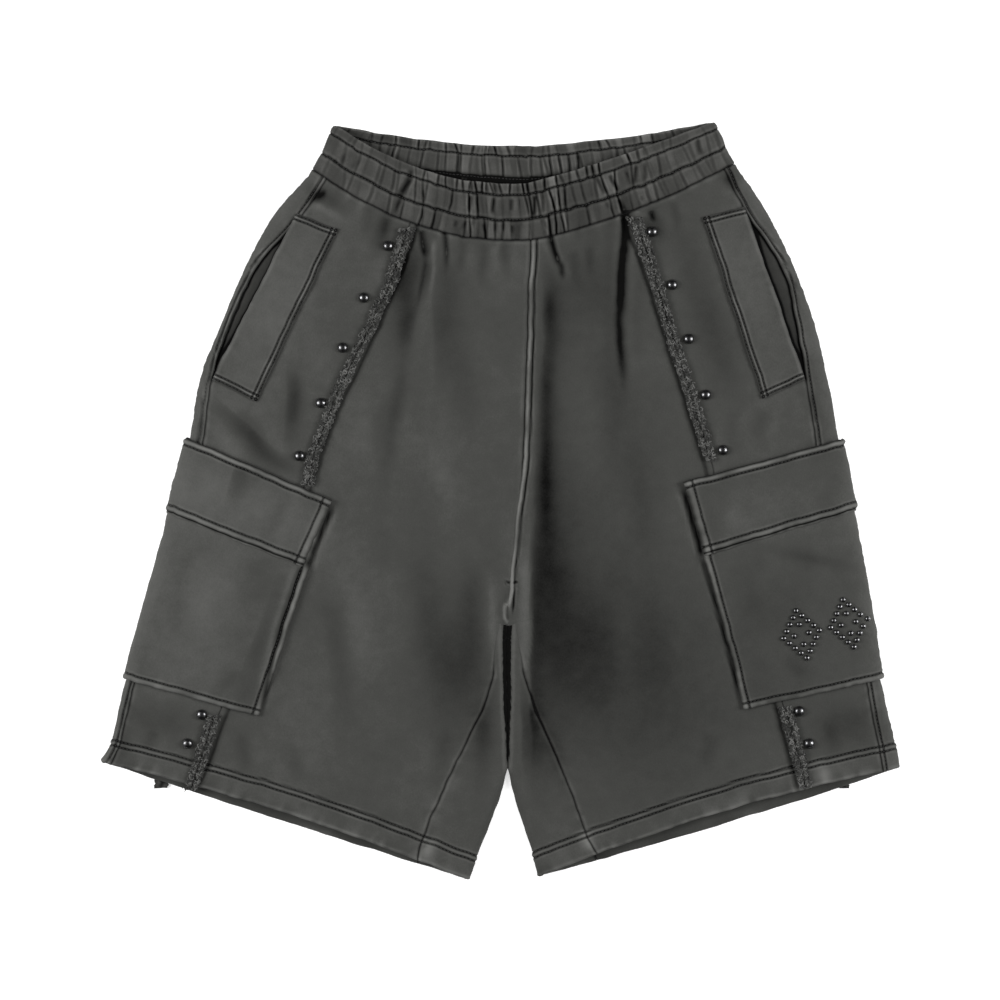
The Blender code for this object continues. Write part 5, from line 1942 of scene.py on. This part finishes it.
@dataclass
class Studio:
    """A white floor under a soft, even light, and a camera that looks straight down."""

    height: float = 2.808
    aim: tuple[float, float] = (-0.0004, 0.00015)
    lens: float = 118.6
    sky: float = 0.24
    side_watts: float = 33.0
    top_watts: float = 7.0

    def floor(self) -> None:
        """Lays the pale floor, with its top just under the cloth."""
        mesh = bpy.data.meshes.new("floor")
        wide = 6.0
        mesh.from_pydata([(-wide, -wide, 0), (wide, -wide, 0), (wide, wide, 0), (-wide, wide, 0)], [], [(0, 1, 2, 3)])
        mesh.materials.append(FLOOR.material())
        in_scene("floor", mesh)

    def lamp(self, name: str, place: tuple[float, float, float], size: tuple[float, float], watts: float) -> None:
        """Adds a softbox that looks at the middle of the shorts."""
        data = bpy.data.lights.new(name, "AREA")
        data.shape, data.size, data.size_y, data.energy = "RECTANGLE", size[0], size[1], watts
        obj = in_scene(name, data)
        obj.location = place
        obj.visible_glossy = bool(place[0])    # the two at the sides give the studs their highlights
        obj.rotation_euler = (-Vector(place)).to_track_quat("-Z", "Y").to_euler()

    def camera(self) -> None:
        """Looks straight down from the picture's distance, with everything in focus."""
        data = bpy.data.cameras.new("camera")
        data.lens, data.sensor_width, data.sensor_fit = self.lens, 36.0, "HORIZONTAL"
        data.dof.use_dof = False
        data.clip_end = 50.0
        obj = in_scene("camera", data)
        obj.location = (*self.aim, self.height)
        bpy.context.scene.camera = obj

    def build(self) -> None:
        """Sets up the floor, the lights, the sky and the camera."""
        self.floor()
        for name, sign in (("left", -1), ("right", 1)):
            self.lamp(f"softbox_{name}", (sign * 1.7, 0.15, 1.30), (0.7, 0.9), self.side_watts)
        for name, sign in (("top", 1), ("foot", -1)):
            self.lamp(f"softbox_{name}", (0.0, sign * 1.5, 1.9), (2.2, 0.7), self.top_watts)
        world = bpy.context.scene.world = bpy.data.worlds.new("studio")
        world.use_nodes = True
        light = world.node_tree.nodes["Background"].inputs
        light["Color"].default_value, light["Strength"].default_value = (1.0, 1.0, 1.0, 1.0), self.sky
        world.cycles_visibility.glossy = False    # the studs mirror the softboxes, and are dark elsewhere
        bpy.context.scene.view_settings.view_transform = "Standard"
        self.camera()


def lies() -> dict[Side, Lie]:
    """How each leg lies: its plan, with the creases and gathers of both faces."""
    front = CreaseMap(FRONT_CREASES, FRONT_MARKS, 5)
    back = CreaseMap(BACK_CREASES, BACK_MARKS, 6)
    made = {}
    for side, rows, seed in ((Side.RIGHT, RIGHT_ROWS, 101), (Side.LEFT, LEFT_ROWS, 102)):
        plan = LegPlan(side, rows)
        waist = float(WAIST)
        gathers = {False: Gathers(float(plan.length(waist)), seed, FRONT_GATHERS[side]),
                   True: Gathers(float(plan.length(waist, True)), seed + 50, BACK_GATHERS)}
        made[side] = Lie(plan, front, back, gathers)
    return made


def main() -> None:
    """Builds the shorts piece by piece, then the studio round them."""
    logging.basicConfig(level=logging.INFO, format="%(message)s")
    both = lies()
    materials = Materials()
    for lie in both.values():
        LegPanels(lie, materials).build()
        Welt(lie, materials).build()
        CargoPocket(lie, materials).build()
        for where in ("upper", "lower", "back"):
            RawStrip(lie, materials, where).build()
        Studs(lie, materials).build()
    Waistband(both, materials).build()
    PocketPattern(both[Side.LEFT], materials).build()
    Studio().build()
    total = sum(triangles(obj) for obj in bpy.context.scene.objects if obj.type == "MESH")
    log.info("triangles in the scene: %d", total)


if __name__ == "__main__":
    main()
